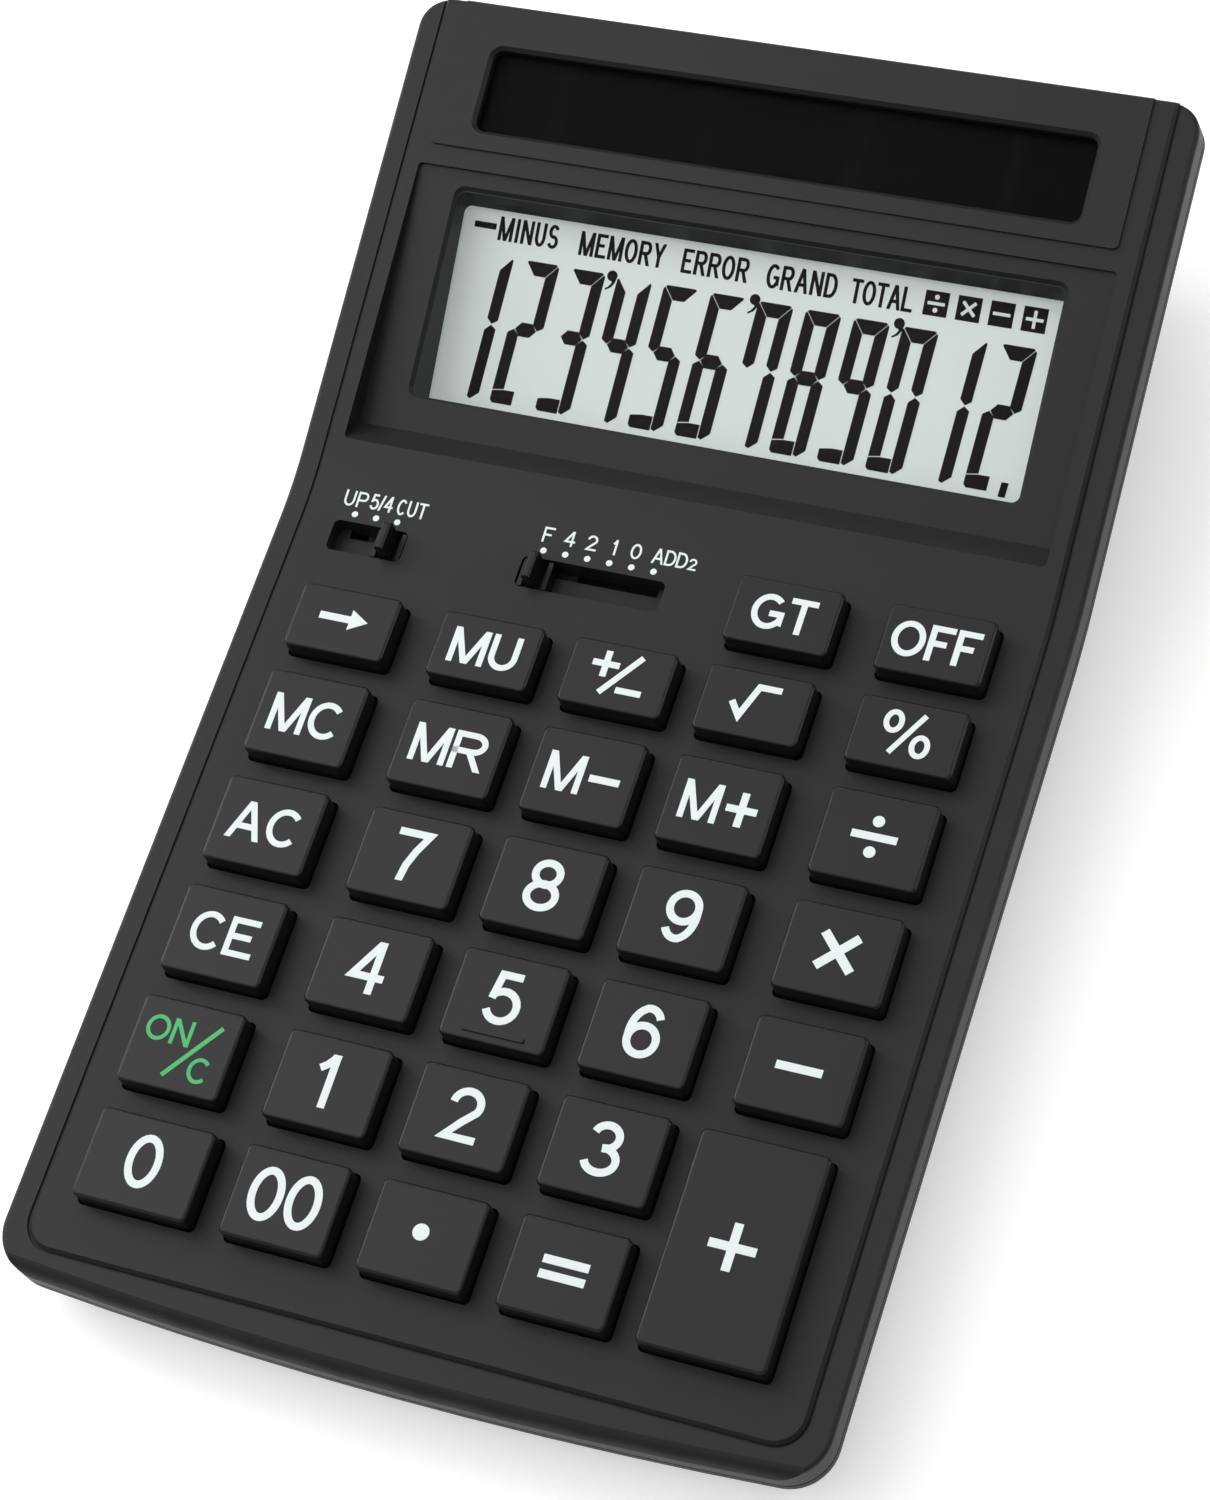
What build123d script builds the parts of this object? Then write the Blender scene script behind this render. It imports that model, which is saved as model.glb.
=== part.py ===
from build123d import *
import os
from math import atan2, cos, degrees, radians, sin, tan

# A twelve-digit desk calculator: a bent slab of two shells, a flat key deck in front and a head
# behind it that is tilted up towards the user, standing on a wedge-shaped base with rubber feet.
# Lengths are millimetres and angles degrees. The deck frame has its origin where the deck plane
# meets the head plane, with x to the right, y to the back along the deck and z square to the deck.

# Case, seen from above
CASE_WIDTH = 107.0
DECK_LENGTH = 112.0
HEAD_LENGTH = 68.7
FRONT_BOW = 2.2
FRONT_CORNER = 6.0
REAR_CORNER = 4.0
RIM_WIDTH = 3.5
FRONT_RIM_WIDTH = 5.3
PANEL_CORNER = 4.0

# Case, seen from the side
HEAD_TILT = 13.3
DECK_TILT = 2.0
BEND_RADIUS = 40.0
PANEL_RISE = 0.5
PANEL_BEVEL = 0.45
GROOVE_WIDTH = 0.3
GROOVE_DEPTH = 0.3
SKIRT_DEPTH = 4.4
PARTING_GAP = 0.3
PARTING_INSET = 0.8
TRAY_THICKNESS = 1.8
BASE_DEPTH = 11.6
TOP_EDGE_ROUND = 0.6
FRONT_ROUND = 2.4
FRONT_ROUND_LIFT = 0.1
LOWER_EDGE_ROUND = 0.7

# Walls
TOP_WALL = 2.0
SKIRT_WALL = 2.0
HULL_WALL = 1.8
TONGUE_WALL = 1.2
TONGUE_HEIGHT = 1.0
FIT_GAP = 0.15

# Hull of the base under the tray
HULL_INSET = 2.0
HULL_SLOPE = 22.0
HULL_FRONT_INSET = 3.9
HULL_FRONT_LEAN = 0.8
HULL_REAR_INSET = 4.2
HULL_REAR_LEAN = 4.0

# Keys
KEY_COLUMNS = 5
SHORT_ROWS = 2
LONG_ROWS = 5
KEY_SIDE_MARGIN = 5.3
OUTER_GAP = 6.0
DIGIT_GAP = 4.2
KEY_SHORT = 9.1
KEY_ROW_GAP = 3.55
REAR_ROW_BACK = 2.4
KEY_FRONT_MARGIN = 6.55
ZERO_EXTRA_WIDTH = 1.7
PLUS_EXTRA_WIDTH = 2.3
KEY_RISE = 3.2
KEY_TRAVEL = 1.6
KEY_CLEARANCE = 0.25
KEY_CORNER = 0.8
KEY_EDGE_ROUND = 0.45
KEY_WALL = 1.2
KEY_TOP_WALL = 1.4
KEY_FLANGE = 0.9
KEY_FLANGE_THICKNESS = 0.9
KEY_FLANGE_GAP = 0.1
POST_DIAMETER = 3.2
POST_REACH = 0.6
HOME_BAR_LENGTH = 8.2
HOME_BAR_WIDTH = 0.6
HOME_BAR_RISE = 0.3
HOME_BAR_INSET = 1.4

# Slide switches
SWITCH_PITCH = 3.03
ROUNDING_STEPS = 2
DECIMAL_STEPS = 5
ROUNDING_SHIFT = 0.7
DECIMAL_SHIFT = 1.5
SWITCH_LINE_BACK = 6.4
KNOB_WIDTH = 4.0
KNOB_LENGTH = 3.9
FIN_THICKNESS = 1.2
FIN_RISE = 2.8
FIN_EDGE_ROUND = 0.35
RIDGE_WIDTH = 0.6
RIDGE_DROP = 0.2
SADDLE_DROP = 1.5
SLOT_CLEARANCE = 0.25
SLOT_DEPTH = 2.6
SLOT_CORNER = 0.8
SLOT_FLOOR = 0.8
SLOT_WALL = 1.0
SLIT_WIDTH = 1.2
STEM_CLEARANCE = 0.1
CARRIAGE_WIDTH = 9.0
CARRIAGE_LENGTH = 6.0
CARRIAGE_THICKNESS = 0.8
WIPER_SHEET = 0.25
WIPER_WIDTH = 3.0
WIPER_SPAN = 6.0
WIPER_GAP = 0.1

# Rubber dome mat and circuit board
DOME_SPARE = 0.5
DOME_BASE = 7.2
DOME_WALL = 0.6
MAT_THICKNESS = 0.8
MAT_MARGIN = 0.8
BOARD_THICKNESS = 1.2
BOARD_MARGIN = 1.6
BOARD_BACK = 1.6
BOARD_REST = 3.0
BOARD_REST_SPACING = 25.0
BOARD_RESTS = 4
CHIP_DIAMETER = 12.0
CHIP_HEIGHT = 1.2
CHIP_X = 9.0
CHIP_Y = -56.0

# Display recess, window and panel
RECESS_SIDE_MARGIN = 2.2
RECESS_FRONT = 7.0
RECESS_TOP_STEP = 0.5
RECESS_FRONT_DEPTH = 3.5
RECESS_RAMP = 3.2
RECESS_CORNER = 0.6
RECESS_WALL = 1.2
RECESS_FLOOR = 1.4
WINDOW_SIDE = 6.2
WINDOW_START = 5.0
WINDOW_END = 2.5
WINDOW_EDGE = 0.5
WINDOW_CORNER = 1.0
WINDOW_SEAT = 1.2
WINDOW_THICKNESS = 1.0
WELL_DEPTH = 7.1
WELL_LEAN = 6.2
LCD_GAP = 0.1
LCD_INSET = 0.3
LCD_THICKNESS = 1.8
HOLDER_THICKNESS = 1.0
HOLDER_FRAME = 4.5
HOLDER_MARGIN = 2.4
RIBBON_WIDTH = 62.0
RIBBON_SHEET = 0.25

# Solar cell in the raised pad of the head
PAD_SIDE_MARGIN = 2.9
PAD_GAP = 2.8
PAD_RISE = 0.35
PAD_CORNER = 0.8
SOLAR_SIDE = 5.65
SOLAR_LENGTH = 11.4
SOLAR_EDGE = 0.5
SOLAR_FRONT_EDGE = 2.7
SOLAR_REAR_EDGE = 6.2
SOLAR_CORNER = 1.4
SOLAR_RECESS = 1.5
SOLAR_SEAT = 1.0
SOLAR_WINDOW_THICKNESS = 0.8
SOLAR_CELL_THICKNESS = 0.9
SOLAR_WALL = 1.0

# Fasteners
SCREW_DIAMETER = 2.0
SCREW_HEAD_DIAMETER = 3.8
SCREW_HEAD_HEIGHT = 1.3
SCREW_HOLE_GAP = 0.05
HEAD_CLEARANCE = 0.3
DRIVE_WIDTH = 0.5
DRIVE_LENGTH = 2.4
DRIVE_DEPTH = 0.7
INNER_SCREW_GRIP = 3.2
CASE_SCREW_GRIP = 3.6
CASE_SCREW_FLOOR = 3.0
BOSS_WALL = 0.85
CASE_BOSS_WALL = 1.4
CASE_SCREW_X = 30.0
REAR_SCREW_INSET = 15.0
REAR_SCREW_BACK = 3.8
FRONT_BOSS_REACH = 3.4
REAR_BOSS_REACH = 7.0

# Button cell, its contacts and the battery door
CELL_DIAMETER = 11.6
CELL_HEIGHT = 5.4
CELL_GAP = 0.5
CELL_BAY_WALL = 1.2
CELL_FROM_BEND = 35.0
CONTACT_SHEET = 0.3
CONTACT_WIDTH = 4.0
DOOR_MARGIN = 2.0
DOOR_SCREW_LAND = 7.0
DOOR_THICKNESS = 2.0
DOOR_LEDGE = 1.4
DOOR_GAP = 0.2
DOOR_TAB = 1.6
DOOR_TAB_WIDTH = 4.0
DOOR_TAB_SHEET = 0.9
DOOR_SCREW_SKIN = 0.6
DOOR_SCREW_GRIP = 2.4

# Feet and wires
FOOT_DIAMETER = 9.0
FOOT_RISE = 1.5
FOOT_SEAT = 0.6
FOOT_ROUND = 0.5
FOOT_INSET = 8.0
WIRE_DIAMETER = 1.0
WIRE_SPACING = 2.2
WIRE_FROM_POST = 8.0
WIRE_BEND = 2.0
WIRE_DROP = 10.8
WIRE_LEVEL = 5.4
WIRE_RUN = 5.0
WIRE_DIP = 4.2
WIRE_END = 1.6

# Sizes that follow from the ones above
REACH = 2.0 * (DECK_LENGTH + HEAD_LENGTH)
SAME_POINT = 0.01
HALF_WIDTH = CASE_WIDTH / 2
TILT = radians(HEAD_TILT)
RIM_TOP = -PANEL_RISE
DECK_UNDERSIDE = -TOP_WALL
PARTING = -SKIRT_DEPTH
TRAY_TOP = PARTING - PARTING_GAP
TRAY_BOTTOM = TRAY_TOP - TRAY_THICKNESS
PANEL_HALF = HALF_WIDTH - RIM_WIDTH
PANEL_FRONT = -DECK_LENGTH + FRONT_RIM_WIDTH
KEY_WIDTH = 2 * (PANEL_HALF - KEY_SIDE_MARGIN - OUTER_GAP - DIGIT_GAP) / KEY_COLUMNS
DIGIT_PITCH = KEY_WIDTH + DIGIT_GAP
OUTER_COLUMN = PANEL_HALF - KEY_SIDE_MARGIN - KEY_WIDTH / 2
ROW_ROOM = -PANEL_FRONT - REAR_ROW_BACK - KEY_FRONT_MARGIN
ROW_GAPS = (SHORT_ROWS + LONG_ROWS - 1) * KEY_ROW_GAP
KEY_LONG = (ROW_ROOM - ROW_GAPS - SHORT_ROWS * KEY_SHORT) / LONG_ROWS
ROUNDING_REST_X = ROUNDING_SHIFT - OUTER_COLUMN
DECIMAL_REST_X = DECIMAL_SHIFT - DIGIT_PITCH
FLANGE_TOP = DECK_UNDERSIDE - KEY_FLANGE_GAP
FLANGE_BOTTOM = FLANGE_TOP - KEY_FLANGE_THICKNESS
POST_BOTTOM = FLANGE_BOTTOM - POST_REACH
MAT_TOP = POST_BOTTOM - KEY_TRAVEL - DOME_SPARE
BOARD_TOP = MAT_TOP - MAT_THICKNESS
BOARD_BOTTOM = BOARD_TOP - BOARD_THICKNESS
HULL_HALF = HALF_WIDTH - HULL_INSET
SWITCH_Y = -SWITCH_LINE_BACK
SLOT_WIDTH = KNOB_LENGTH + 2 * SLOT_CLEARANCE
SLIT_Y = SWITCH_Y + (SLOT_WIDTH - SLIT_WIDTH) / 2
SLOT_UNDERSIDE = -SLOT_DEPTH - SLOT_FLOOR
CARRIAGE_TOP = SLOT_UNDERSIDE - STEM_CLEARANCE
CARRIAGE_BOTTOM = CARRIAGE_TOP - CARRIAGE_THICKNESS
HEAD = Plane(origin=(0, 0, 0), x_dir=(1, 0, 0), z_dir=(0, -sin(TILT), cos(TILT)))
PAD_WIDTH = 2 * (PANEL_HALF - PAD_SIDE_MARGIN)
SOLAR_WIDTH = PAD_WIDTH - 2 * SOLAR_SIDE
SOLAR_FRONT = HEAD_LENGTH - SOLAR_REAR_EDGE - SOLAR_LENGTH
PAD_FRONT = SOLAR_FRONT - SOLAR_FRONT_EDGE
RECESS_WIDTH = 2 * (PANEL_HALF - RECESS_SIDE_MARGIN)
RECESS_LENGTH = PAD_FRONT - PAD_GAP - RECESS_FRONT
RECESS_FLOOR_RUN = RECESS_LENGTH - RECESS_RAMP
RECESS_TILT = degrees(atan2(RECESS_FRONT_DEPTH - RECESS_TOP_STEP, RECESS_FLOOR_RUN))
FLOOR_START = Location((0, RECESS_FRONT + RECESS_RAMP, -RECESS_FRONT_DEPTH), (RECESS_TILT, 0, 0))
FLOOR_PLANE = Plane(HEAD.location * FLOOR_START)
WINDOW_WIDTH = RECESS_WIDTH - 2 * WINDOW_SIDE
WINDOW_LENGTH = RECESS_FLOOR_RUN - WINDOW_START - WINDOW_END
WINDOW_MIDDLE = WINDOW_START + WINDOW_LENGTH / 2
FLOOR_SLOPE = radians(HEAD_TILT + RECESS_TILT)
LENS_SLOPE = FLOOR_SLOPE + radians(WELL_LEAN)
WINDOW_RUN = WINDOW_LENGTH * cos(FLOOR_SLOPE)
WINDOW_FRONT = FLOOR_PLANE.from_local_coords(Vector(0, WINDOW_START, 0))
WINDOW_Y = WINDOW_FRONT.Y + WINDOW_RUN / 2
LENS_PLANE = Plane(
    origin=(0, WINDOW_FRONT.Y, WINDOW_FRONT.Z - WELL_DEPTH),
    x_dir=(1, 0, 0),
    z_dir=(0, -sin(LENS_SLOPE), cos(LENS_SLOPE)),
)
LENS_BOTTOM = -WINDOW_THICKNESS
LCD_TOP = LENS_BOTTOM - LCD_GAP
LCD_BOTTOM = LCD_TOP - LCD_THICKNESS
LENS_WIDTH = WINDOW_WIDTH + 2 * WINDOW_SEAT
LENS_LENGTH = WINDOW_RUN / cos(LENS_SLOPE) + 2 * WINDOW_SEAT
LENS_MIDDLE = LENS_LENGTH / 2 - WINDOW_SEAT
HOLDER_WIDTH = LENS_WIDTH + 2 * (SCREW_DIAMETER + 2 * BOSS_WALL)
HOLDER_LENGTH = LENS_LENGTH - HOLDER_MARGIN
RIBBON_LAP = HOLDER_MARGIN - LCD_INSET - FIT_GAP
SOLAR_MIDDLE = SOLAR_FRONT + SOLAR_LENGTH / 2
SOLAR_TOP = PAD_RISE - SOLAR_RECESS
SOLAR_PLATE_WIDTH = SOLAR_WIDTH + 2 * SOLAR_SEAT
SOLAR_PLATE_LENGTH = SOLAR_LENGTH + 2 * SOLAR_SEAT
SOLAR_POCKET_WIDTH = SOLAR_PLATE_WIDTH + 2 * FIT_GAP
SOLAR_POCKET_LENGTH = SOLAR_PLATE_LENGTH + 2 * FIT_GAP
CELL_PLATE_TOP = SOLAR_TOP - SOLAR_WINDOW_THICKNESS
CELL_PLATE_BOTTOM = CELL_PLATE_TOP - SOLAR_CELL_THICKNESS
HOLDER_SCREW_X = (LENS_WIDTH + SCREW_DIAMETER) / 2 + BOSS_WALL + FIT_GAP


def base_level(y):
    """Height of the flat underside of the base, which is level when the part stands."""
    return -BASE_DEPTH - (y - PANEL_FRONT) * tan(radians(DECK_TILT))


def hull_half(y):
    """Half width of the base's underside at a place along the deck."""
    level = base_level(y)
    below_head = level * cos(TILT) - y * sin(TILT)
    return HULL_HALF - (TRAY_BOTTOM - min(level, below_head)) * tan(radians(HULL_SLOPE))


def block(x_size, y_size, bottom, top, corner=0.0, x=0.0, y=0.0):
    """Upright block between two levels, with rounded corners in plan where corner is given."""
    plan = RectangleRounded(x_size, y_size, corner) if corner else Rectangle(x_size, y_size)
    return Pos(x, y, bottom) * extrude(plan, amount=top - bottom)


def pillar(diameter, bottom, top, x=0.0, y=0.0):
    """Upright round bar between two levels."""
    return Pos(x, y, bottom) * extrude(Circle(diameter / 2), amount=top - bottom)


def side_extrusion(points, half_width):
    """Solid of constant cross-section along x, from corners given as (y, z)."""
    profile = make_face(Polyline(*points, close=True))
    return extrude(Plane.YZ * profile, amount=half_width, both=True)


def head_point(along, above):
    """Deck-frame (y, z) of a point on the head: along it from the bend, and above its plane."""
    return (along * cos(TILT) - above * sin(TILT), along * sin(TILT) + above * cos(TILT))


def bend_points(level):
    """Three points of the bend's arc at a level above the deck plane."""
    start = -BEND_RADIUS * tan(TILT / 2)
    radius = BEND_RADIUS - level
    turns = (0.0, TILT / 2, TILT)
    return [(start + radius * sin(turn), BEND_RADIUS - radius * cos(turn)) for turn in turns]


def bent_slab(half_width, front, bow, front_corner, rear, rear_corner, top, bottom):
    """Slab that follows deck, bend and head between two levels, with its outline rounded in plan."""
    upper = bend_points(top)
    lower = bend_points(bottom)
    front_end = front - 1.0
    edge = Line((front_end, top), upper[0])
    edge += ThreePointArc(*upper)
    edge += Line(upper[2], head_point(rear, top))
    edge += Line(head_point(rear, top), head_point(rear, bottom))
    edge += Line(head_point(rear, bottom), lower[2])
    edge += ThreePointArc(lower[2], lower[1], lower[0])
    edge += Line(lower[0], (front_end, bottom))
    edge += Line((front_end, bottom), (front_end, top))
    slab = extrude(Plane.YZ * make_face(edge), amount=half_width, both=True)

    plan = Line((half_width, front + bow), (half_width, REACH))
    plan += Line((half_width, REACH), (-half_width, REACH))
    plan += Line((-half_width, REACH), (-half_width, front + bow))
    if bow:
        plan += ThreePointArc((-half_width, front + bow), (0, front), (half_width, front + bow))
    else:
        plan += Line((-half_width, front), (half_width, front))
    deck_plan = make_face(plan)
    deck_plan = fillet(deck_plan.vertices().sort_by(Axis.Y)[:2], front_corner)
    slab &= extrude(deck_plan, amount=REACH, both=True)

    head_plan = Pos(0, rear - REACH / 2) * Rectangle(2 * half_width, REACH)
    head_plan = fillet(head_plan.vertices().sort_by(Axis.Y)[-2:], rear_corner)
    return slab & extrude(HEAD * head_plan, amount=REACH, both=True)


def case_slab(inset, top, bottom):
    """Slab with the outline of the whole case, moved inwards by inset."""
    front = -DECK_LENGTH + inset
    front_corner = max(FRONT_CORNER - inset, 0.8)
    rear_corner = max(REAR_CORNER - inset, 0.8)
    rear = HEAD_LENGTH - inset
    return bent_slab(HALF_WIDTH - inset, front, FRONT_BOW, front_corner, rear, rear_corner, top, bottom)


def border(solid, looks):
    """Outer edges of the faces that look along a direction, without the edges those faces share."""
    faces = [face for face in solid.faces() if face.normal_at().dot(looks) > 0.9]
    edges = [edge for face in faces for edge in face.outer_wire().edges()]
    centres = [edge.center() for edge in edges]
    alone = []
    for edge, centre in zip(edges, centres):
        twins = [other for other in centres if (other - centre).length < SAME_POINT]
        if len(twins) == 1:
            alone.append(edge)
    return alone


def key_rows():
    """Middle of each key row along the deck, from the row nearest the head."""
    lengths = SHORT_ROWS * [KEY_SHORT] + LONG_ROWS * [KEY_LONG]
    rows = []
    back = -REAR_ROW_BACK
    for length in lengths:
        rows.append(back - length / 2)
        back -= length + KEY_ROW_GAP
    return rows


ROWS = key_rows()
COLUMNS = [-OUTER_COLUMN, -DIGIT_PITCH, 0.0, DIGIT_PITCH, OUTER_COLUMN]
KEY_NAMES = [
    [None, None, None, "grand_total", "off"],
    ["shift", "markup", "sign", "root", "percent"],
    ["memory_clear", "memory_recall", "memory_minus", "memory_plus", "divide"],
    ["all_clear", "seven", "eight", "nine", "multiply"],
    ["clear_entry", "four", "five", "six", "minus"],
    ["on_clear", "one", "two", "three", None],
    ["zero", "double_zero", "point", "equals", None],
]


def key_places():
    """Name, middle x and y, width and length of every key on the deck."""
    places = []
    for row, names in enumerate(KEY_NAMES):
        length = KEY_SHORT if row < SHORT_ROWS else KEY_LONG
        for column, name in enumerate(names):
            if name == "zero":
                x = COLUMNS[column] + ZERO_EXTRA_WIDTH / 2
                places.append((name, x, ROWS[row], KEY_WIDTH + ZERO_EXTRA_WIDTH, length))
            elif name:
                places.append((name, COLUMNS[column], ROWS[row], KEY_WIDTH, length))
    plus_x = COLUMNS[4] - PLUS_EXTRA_WIDTH / 2
    plus_length = ROWS[5] - ROWS[6] + KEY_LONG
    places.append(("plus", plus_x, (ROWS[5] + ROWS[6]) / 2, KEY_WIDTH + PLUS_EXTRA_WIDTH, plus_length))
    return places


KEYS = key_places()
KEYS_FRONT = ROWS[6] - KEY_LONG / 2 - KEY_FLANGE
KEYS_SIDE = OUTER_COLUMN + KEY_WIDTH / 2 + KEY_FLANGE
BOARD_FRONT = KEYS_FRONT - FIT_GAP
BOARD_HALF = KEYS_SIDE + BOARD_MARGIN
CASE_BOSS_DIAMETER = SCREW_DIAMETER + 2 * CASE_BOSS_WALL
CASE_SCREW_Y = BOARD_FRONT - FIT_GAP - CASE_BOSS_DIAMETER / 2
BOARD_SCREW_X = (DIGIT_PITCH + OUTER_COLUMN) / 2
BOARD_SCREW_ROWS = [(ROWS[0] + ROWS[1]) / 2, ROWS[4]]
BOARD_SCREWS = [(side * BOARD_SCREW_X, y) for y in BOARD_SCREW_ROWS for side in (-1, 1)]
HOLDER_SCREWS = [
    (side * HOLDER_SCREW_X, LENS_MIDDLE + end * HOLDER_LENGTH / 3)
    for side in (-1, 1)
    for end in (-1, 1)
]
REAR_SCREW_V = RECESS_FRONT + RECESS_LENGTH + REAR_SCREW_BACK
REAR_SCREW_Y = head_point(REAR_SCREW_V, 0)[0]
REAR_SCREW_X = hull_half(REAR_SCREW_Y) - REAR_SCREW_INSET
WIRE_X = REAR_SCREW_X - WIRE_FROM_POST
REAR_BOSS_END = head_point(REAR_SCREW_V, 0)[1] - REAR_BOSS_REACH
FRONT_BOSS_END = DECK_UNDERSIDE - FRONT_BOSS_REACH
CASE_SCREWS = [(side * CASE_SCREW_X, CASE_SCREW_Y, FRONT_BOSS_END) for side in (-1, 1)]
CASE_SCREWS += [(side * REAR_SCREW_X, REAR_SCREW_Y, REAR_BOSS_END) for side in (-1, 1)]
CASE_HOLE = SCREW_DIAMETER + 2 * SCREW_HOLE_GAP
HEAD_HOLE = SCREW_HEAD_DIAMETER + 2 * HEAD_CLEARANCE
BOSS_DIAMETER = SCREW_DIAMETER + 2 * BOSS_WALL


def screw(x, y, seat, grip):
    """Cross-head screw pointing up, its head below the level of its seat."""
    shank = pillar(SCREW_DIAMETER, seat - SCREW_HEAD_HEIGHT / 2, seat + grip, x, y)
    shank = chamfer(shank.edges().sort_by(Axis.Z)[-1], SCREW_DIAMETER / 5)
    head = pillar(SCREW_HEAD_DIAMETER, seat - SCREW_HEAD_HEIGHT, seat, x, y)
    head = fillet(head.edges().sort_by(Axis.Z)[0], SCREW_HEAD_HEIGHT / 3)
    whole = head + shank
    for turn in (0, 90):
        bit = Box(DRIVE_LENGTH, DRIVE_WIDTH, 2 * DRIVE_DEPTH)
        whole -= Pos(x, y, seat - SCREW_HEAD_HEIGHT) * Rot(0, 0, turn) * bit
    return whole


def make_key(name, x, y, width, length):
    """Hollow key cap with a retaining flange below the deck and a post over its dome."""
    cap = block(width, length, FLANGE_BOTTOM, KEY_RISE, KEY_CORNER)
    cap = fillet(cap.faces().sort_by(Axis.Z)[-1].edges(), KEY_EDGE_ROUND)
    flange_corner = KEY_CORNER + KEY_FLANGE
    cap += block(width + 2 * KEY_FLANGE, length + 2 * KEY_FLANGE, FLANGE_BOTTOM, FLANGE_TOP, flange_corner)
    ceiling = KEY_RISE - KEY_TOP_WALL
    cap -= block(width - 2 * KEY_WALL, length - 2 * KEY_WALL, FLANGE_BOTTOM, ceiling)
    cap += pillar(POST_DIAMETER, POST_BOTTOM, ceiling)
    if name == "five":
        bar_y = HOME_BAR_INSET - length / 2
        cap += block(
            HOME_BAR_LENGTH, HOME_BAR_WIDTH, KEY_RISE - HOME_BAR_RISE, KEY_RISE + HOME_BAR_RISE,
            HOME_BAR_WIDTH / 3, y=bar_y,
        )
    return Pos(x, y) * cap


def knob_slot(rest_x, travel):
    """Middle x and length of the slot that a knob runs in."""
    length = abs(travel) + KNOB_WIDTH + 2 * SLOT_CLEARANCE
    return rest_x + travel / 2, length


ROUNDING_TRAVEL = -ROUNDING_STEPS * SWITCH_PITCH
DECIMAL_TRAVEL = DECIMAL_STEPS * SWITCH_PITCH
SWITCHES = [(ROUNDING_REST_X, ROUNDING_TRAVEL), (DECIMAL_REST_X, DECIMAL_TRAVEL)]


def make_slider(rest_x):
    """Saddle with a tall fin that stands in its slot, joined by a stem to a carriage below the floor."""
    floor = STEM_CLEARANCE - SLOT_DEPTH
    saddle = block(KNOB_WIDTH, KNOB_LENGTH, floor, -SADDLE_DROP)
    ridge_x = (KNOB_WIDTH - RIDGE_WIDTH) / 2
    for side in (-1, 1):
        saddle += block(RIDGE_WIDTH, KNOB_LENGTH, floor, -RIDGE_DROP, x=side * ridge_x)
    fin = block(FIN_THICKNESS, KNOB_LENGTH, floor, FIN_RISE)
    knob = saddle + fillet(fin.faces().sort_by(Axis.Z)[-1].edges(), FIN_EDGE_ROUND)
    stem_width = SLIT_WIDTH - 2 * STEM_CLEARANCE
    knob += block(FIN_THICKNESS, stem_width, CARRIAGE_BOTTOM, floor, y=SLIT_Y - SWITCH_Y)
    knob += block(CARRIAGE_WIDTH, CARRIAGE_LENGTH, CARRIAGE_BOTTOM, CARRIAGE_TOP, KEY_CORNER)
    return Pos(rest_x, SWITCH_Y) * knob


def make_wiper(rest_x):
    """Sprung sheet contact under a carriage, with two legs that stop just above the board."""
    top = CARRIAGE_BOTTOM
    foot = BOARD_TOP + WIPER_GAP
    half = WIPER_SPAN / 2
    sheet = block(WIPER_SPAN, WIPER_WIDTH, top - WIPER_SHEET, top)
    for side in (-1, 1):
        leg_x = side * (half - WIPER_SHEET / 2)
        sheet += block(WIPER_SHEET, WIPER_WIDTH, foot, top, x=leg_x)
        toe_x = side * (half - WIPER_WIDTH / 4)
        sheet += block(WIPER_WIDTH / 2, WIPER_WIDTH, foot, foot + WIPER_SHEET, x=toe_x)
    return Pos(rest_x, SWITCH_Y) * sheet


def recess_profile(widen, sink, top):
    """Corners of the display recess in the side view, widened along the head and sunk below it."""
    front = RECESS_FRONT - widen
    rear = RECESS_FRONT + RECESS_LENGTH + widen
    floor_front = RECESS_FRONT + RECESS_RAMP - widen
    slope = (RECESS_FRONT_DEPTH - RECESS_TOP_STEP) / RECESS_FLOOR_RUN
    front_level = -RECESS_FRONT_DEPTH - slope * widen - sink
    rear_level = -RECESS_TOP_STEP + slope * widen - sink
    corners = [(front, top), (floor_front, front_level), (rear, rear_level), (rear, top)]
    return [head_point(*corner) for corner in corners]


def head_block(width, length, along, bottom, top, corner):
    """Block square to the head, with its middle at a distance along it from the bend."""
    return HEAD * block(width, length, bottom, top, corner, y=along)


def rounded_case(level):
    """Slab with the outline of the whole case from the parting up to a level, its top edge rounded."""
    slab = case_slab(0, level, PARTING)
    return fillet(border(slab, Vector(0, 0, 1)), TOP_EDGE_ROUND)


def panel_slab(widen, top, bottom):
    """Slab with the outline of the raised panel, which runs out over the rear edge of the head."""
    half = PANEL_HALF + PANEL_BEVEL / 2 + widen
    front = PANEL_FRONT - PANEL_BEVEL / 2 - widen
    corner = PANEL_CORNER + widen
    return bent_slab(half, front, 0, corner, HEAD_LENGTH + corner, corner, top, bottom)


def front_round():
    """What the large round of the front edge takes off the shell, swept along the bow."""
    bow_radius = (HALF_WIDTH**2 + FRONT_BOW**2) / (2 * FRONT_BOW)
    turn = degrees(2.5 * HALF_WIDTH / bow_radius)
    middle = FRONT_ROUND - bow_radius
    level = RIM_TOP - FRONT_ROUND
    profile = Pos(middle - FRONT_ROUND, RIM_TOP) * Rectangle(2 * FRONT_ROUND, 2 * FRONT_ROUND)
    profile -= Pos(middle, level) * Circle(FRONT_ROUND + FRONT_ROUND_LIFT)
    sweep_about_bow = revolve(Plane.YZ * profile, Axis.Z, turn)
    return Pos(0, bow_radius - DECK_LENGTH) * Rot(0, 0, -turn / 2) * sweep_about_bow


def bevelled_mouth(width, length, middle, edge, corner):
    """Bevel that widens the mouth of an opening by edge at the level of the surface."""
    frames = [
        Pos(0, middle, side * edge) * RectangleRounded(
            width + 2 * (side + 1) * edge, length + 2 * (side + 1) * edge, corner + (side + 1) * edge,
        )
        for side in (-1, 1)
    ]
    return loft(frames)


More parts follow.
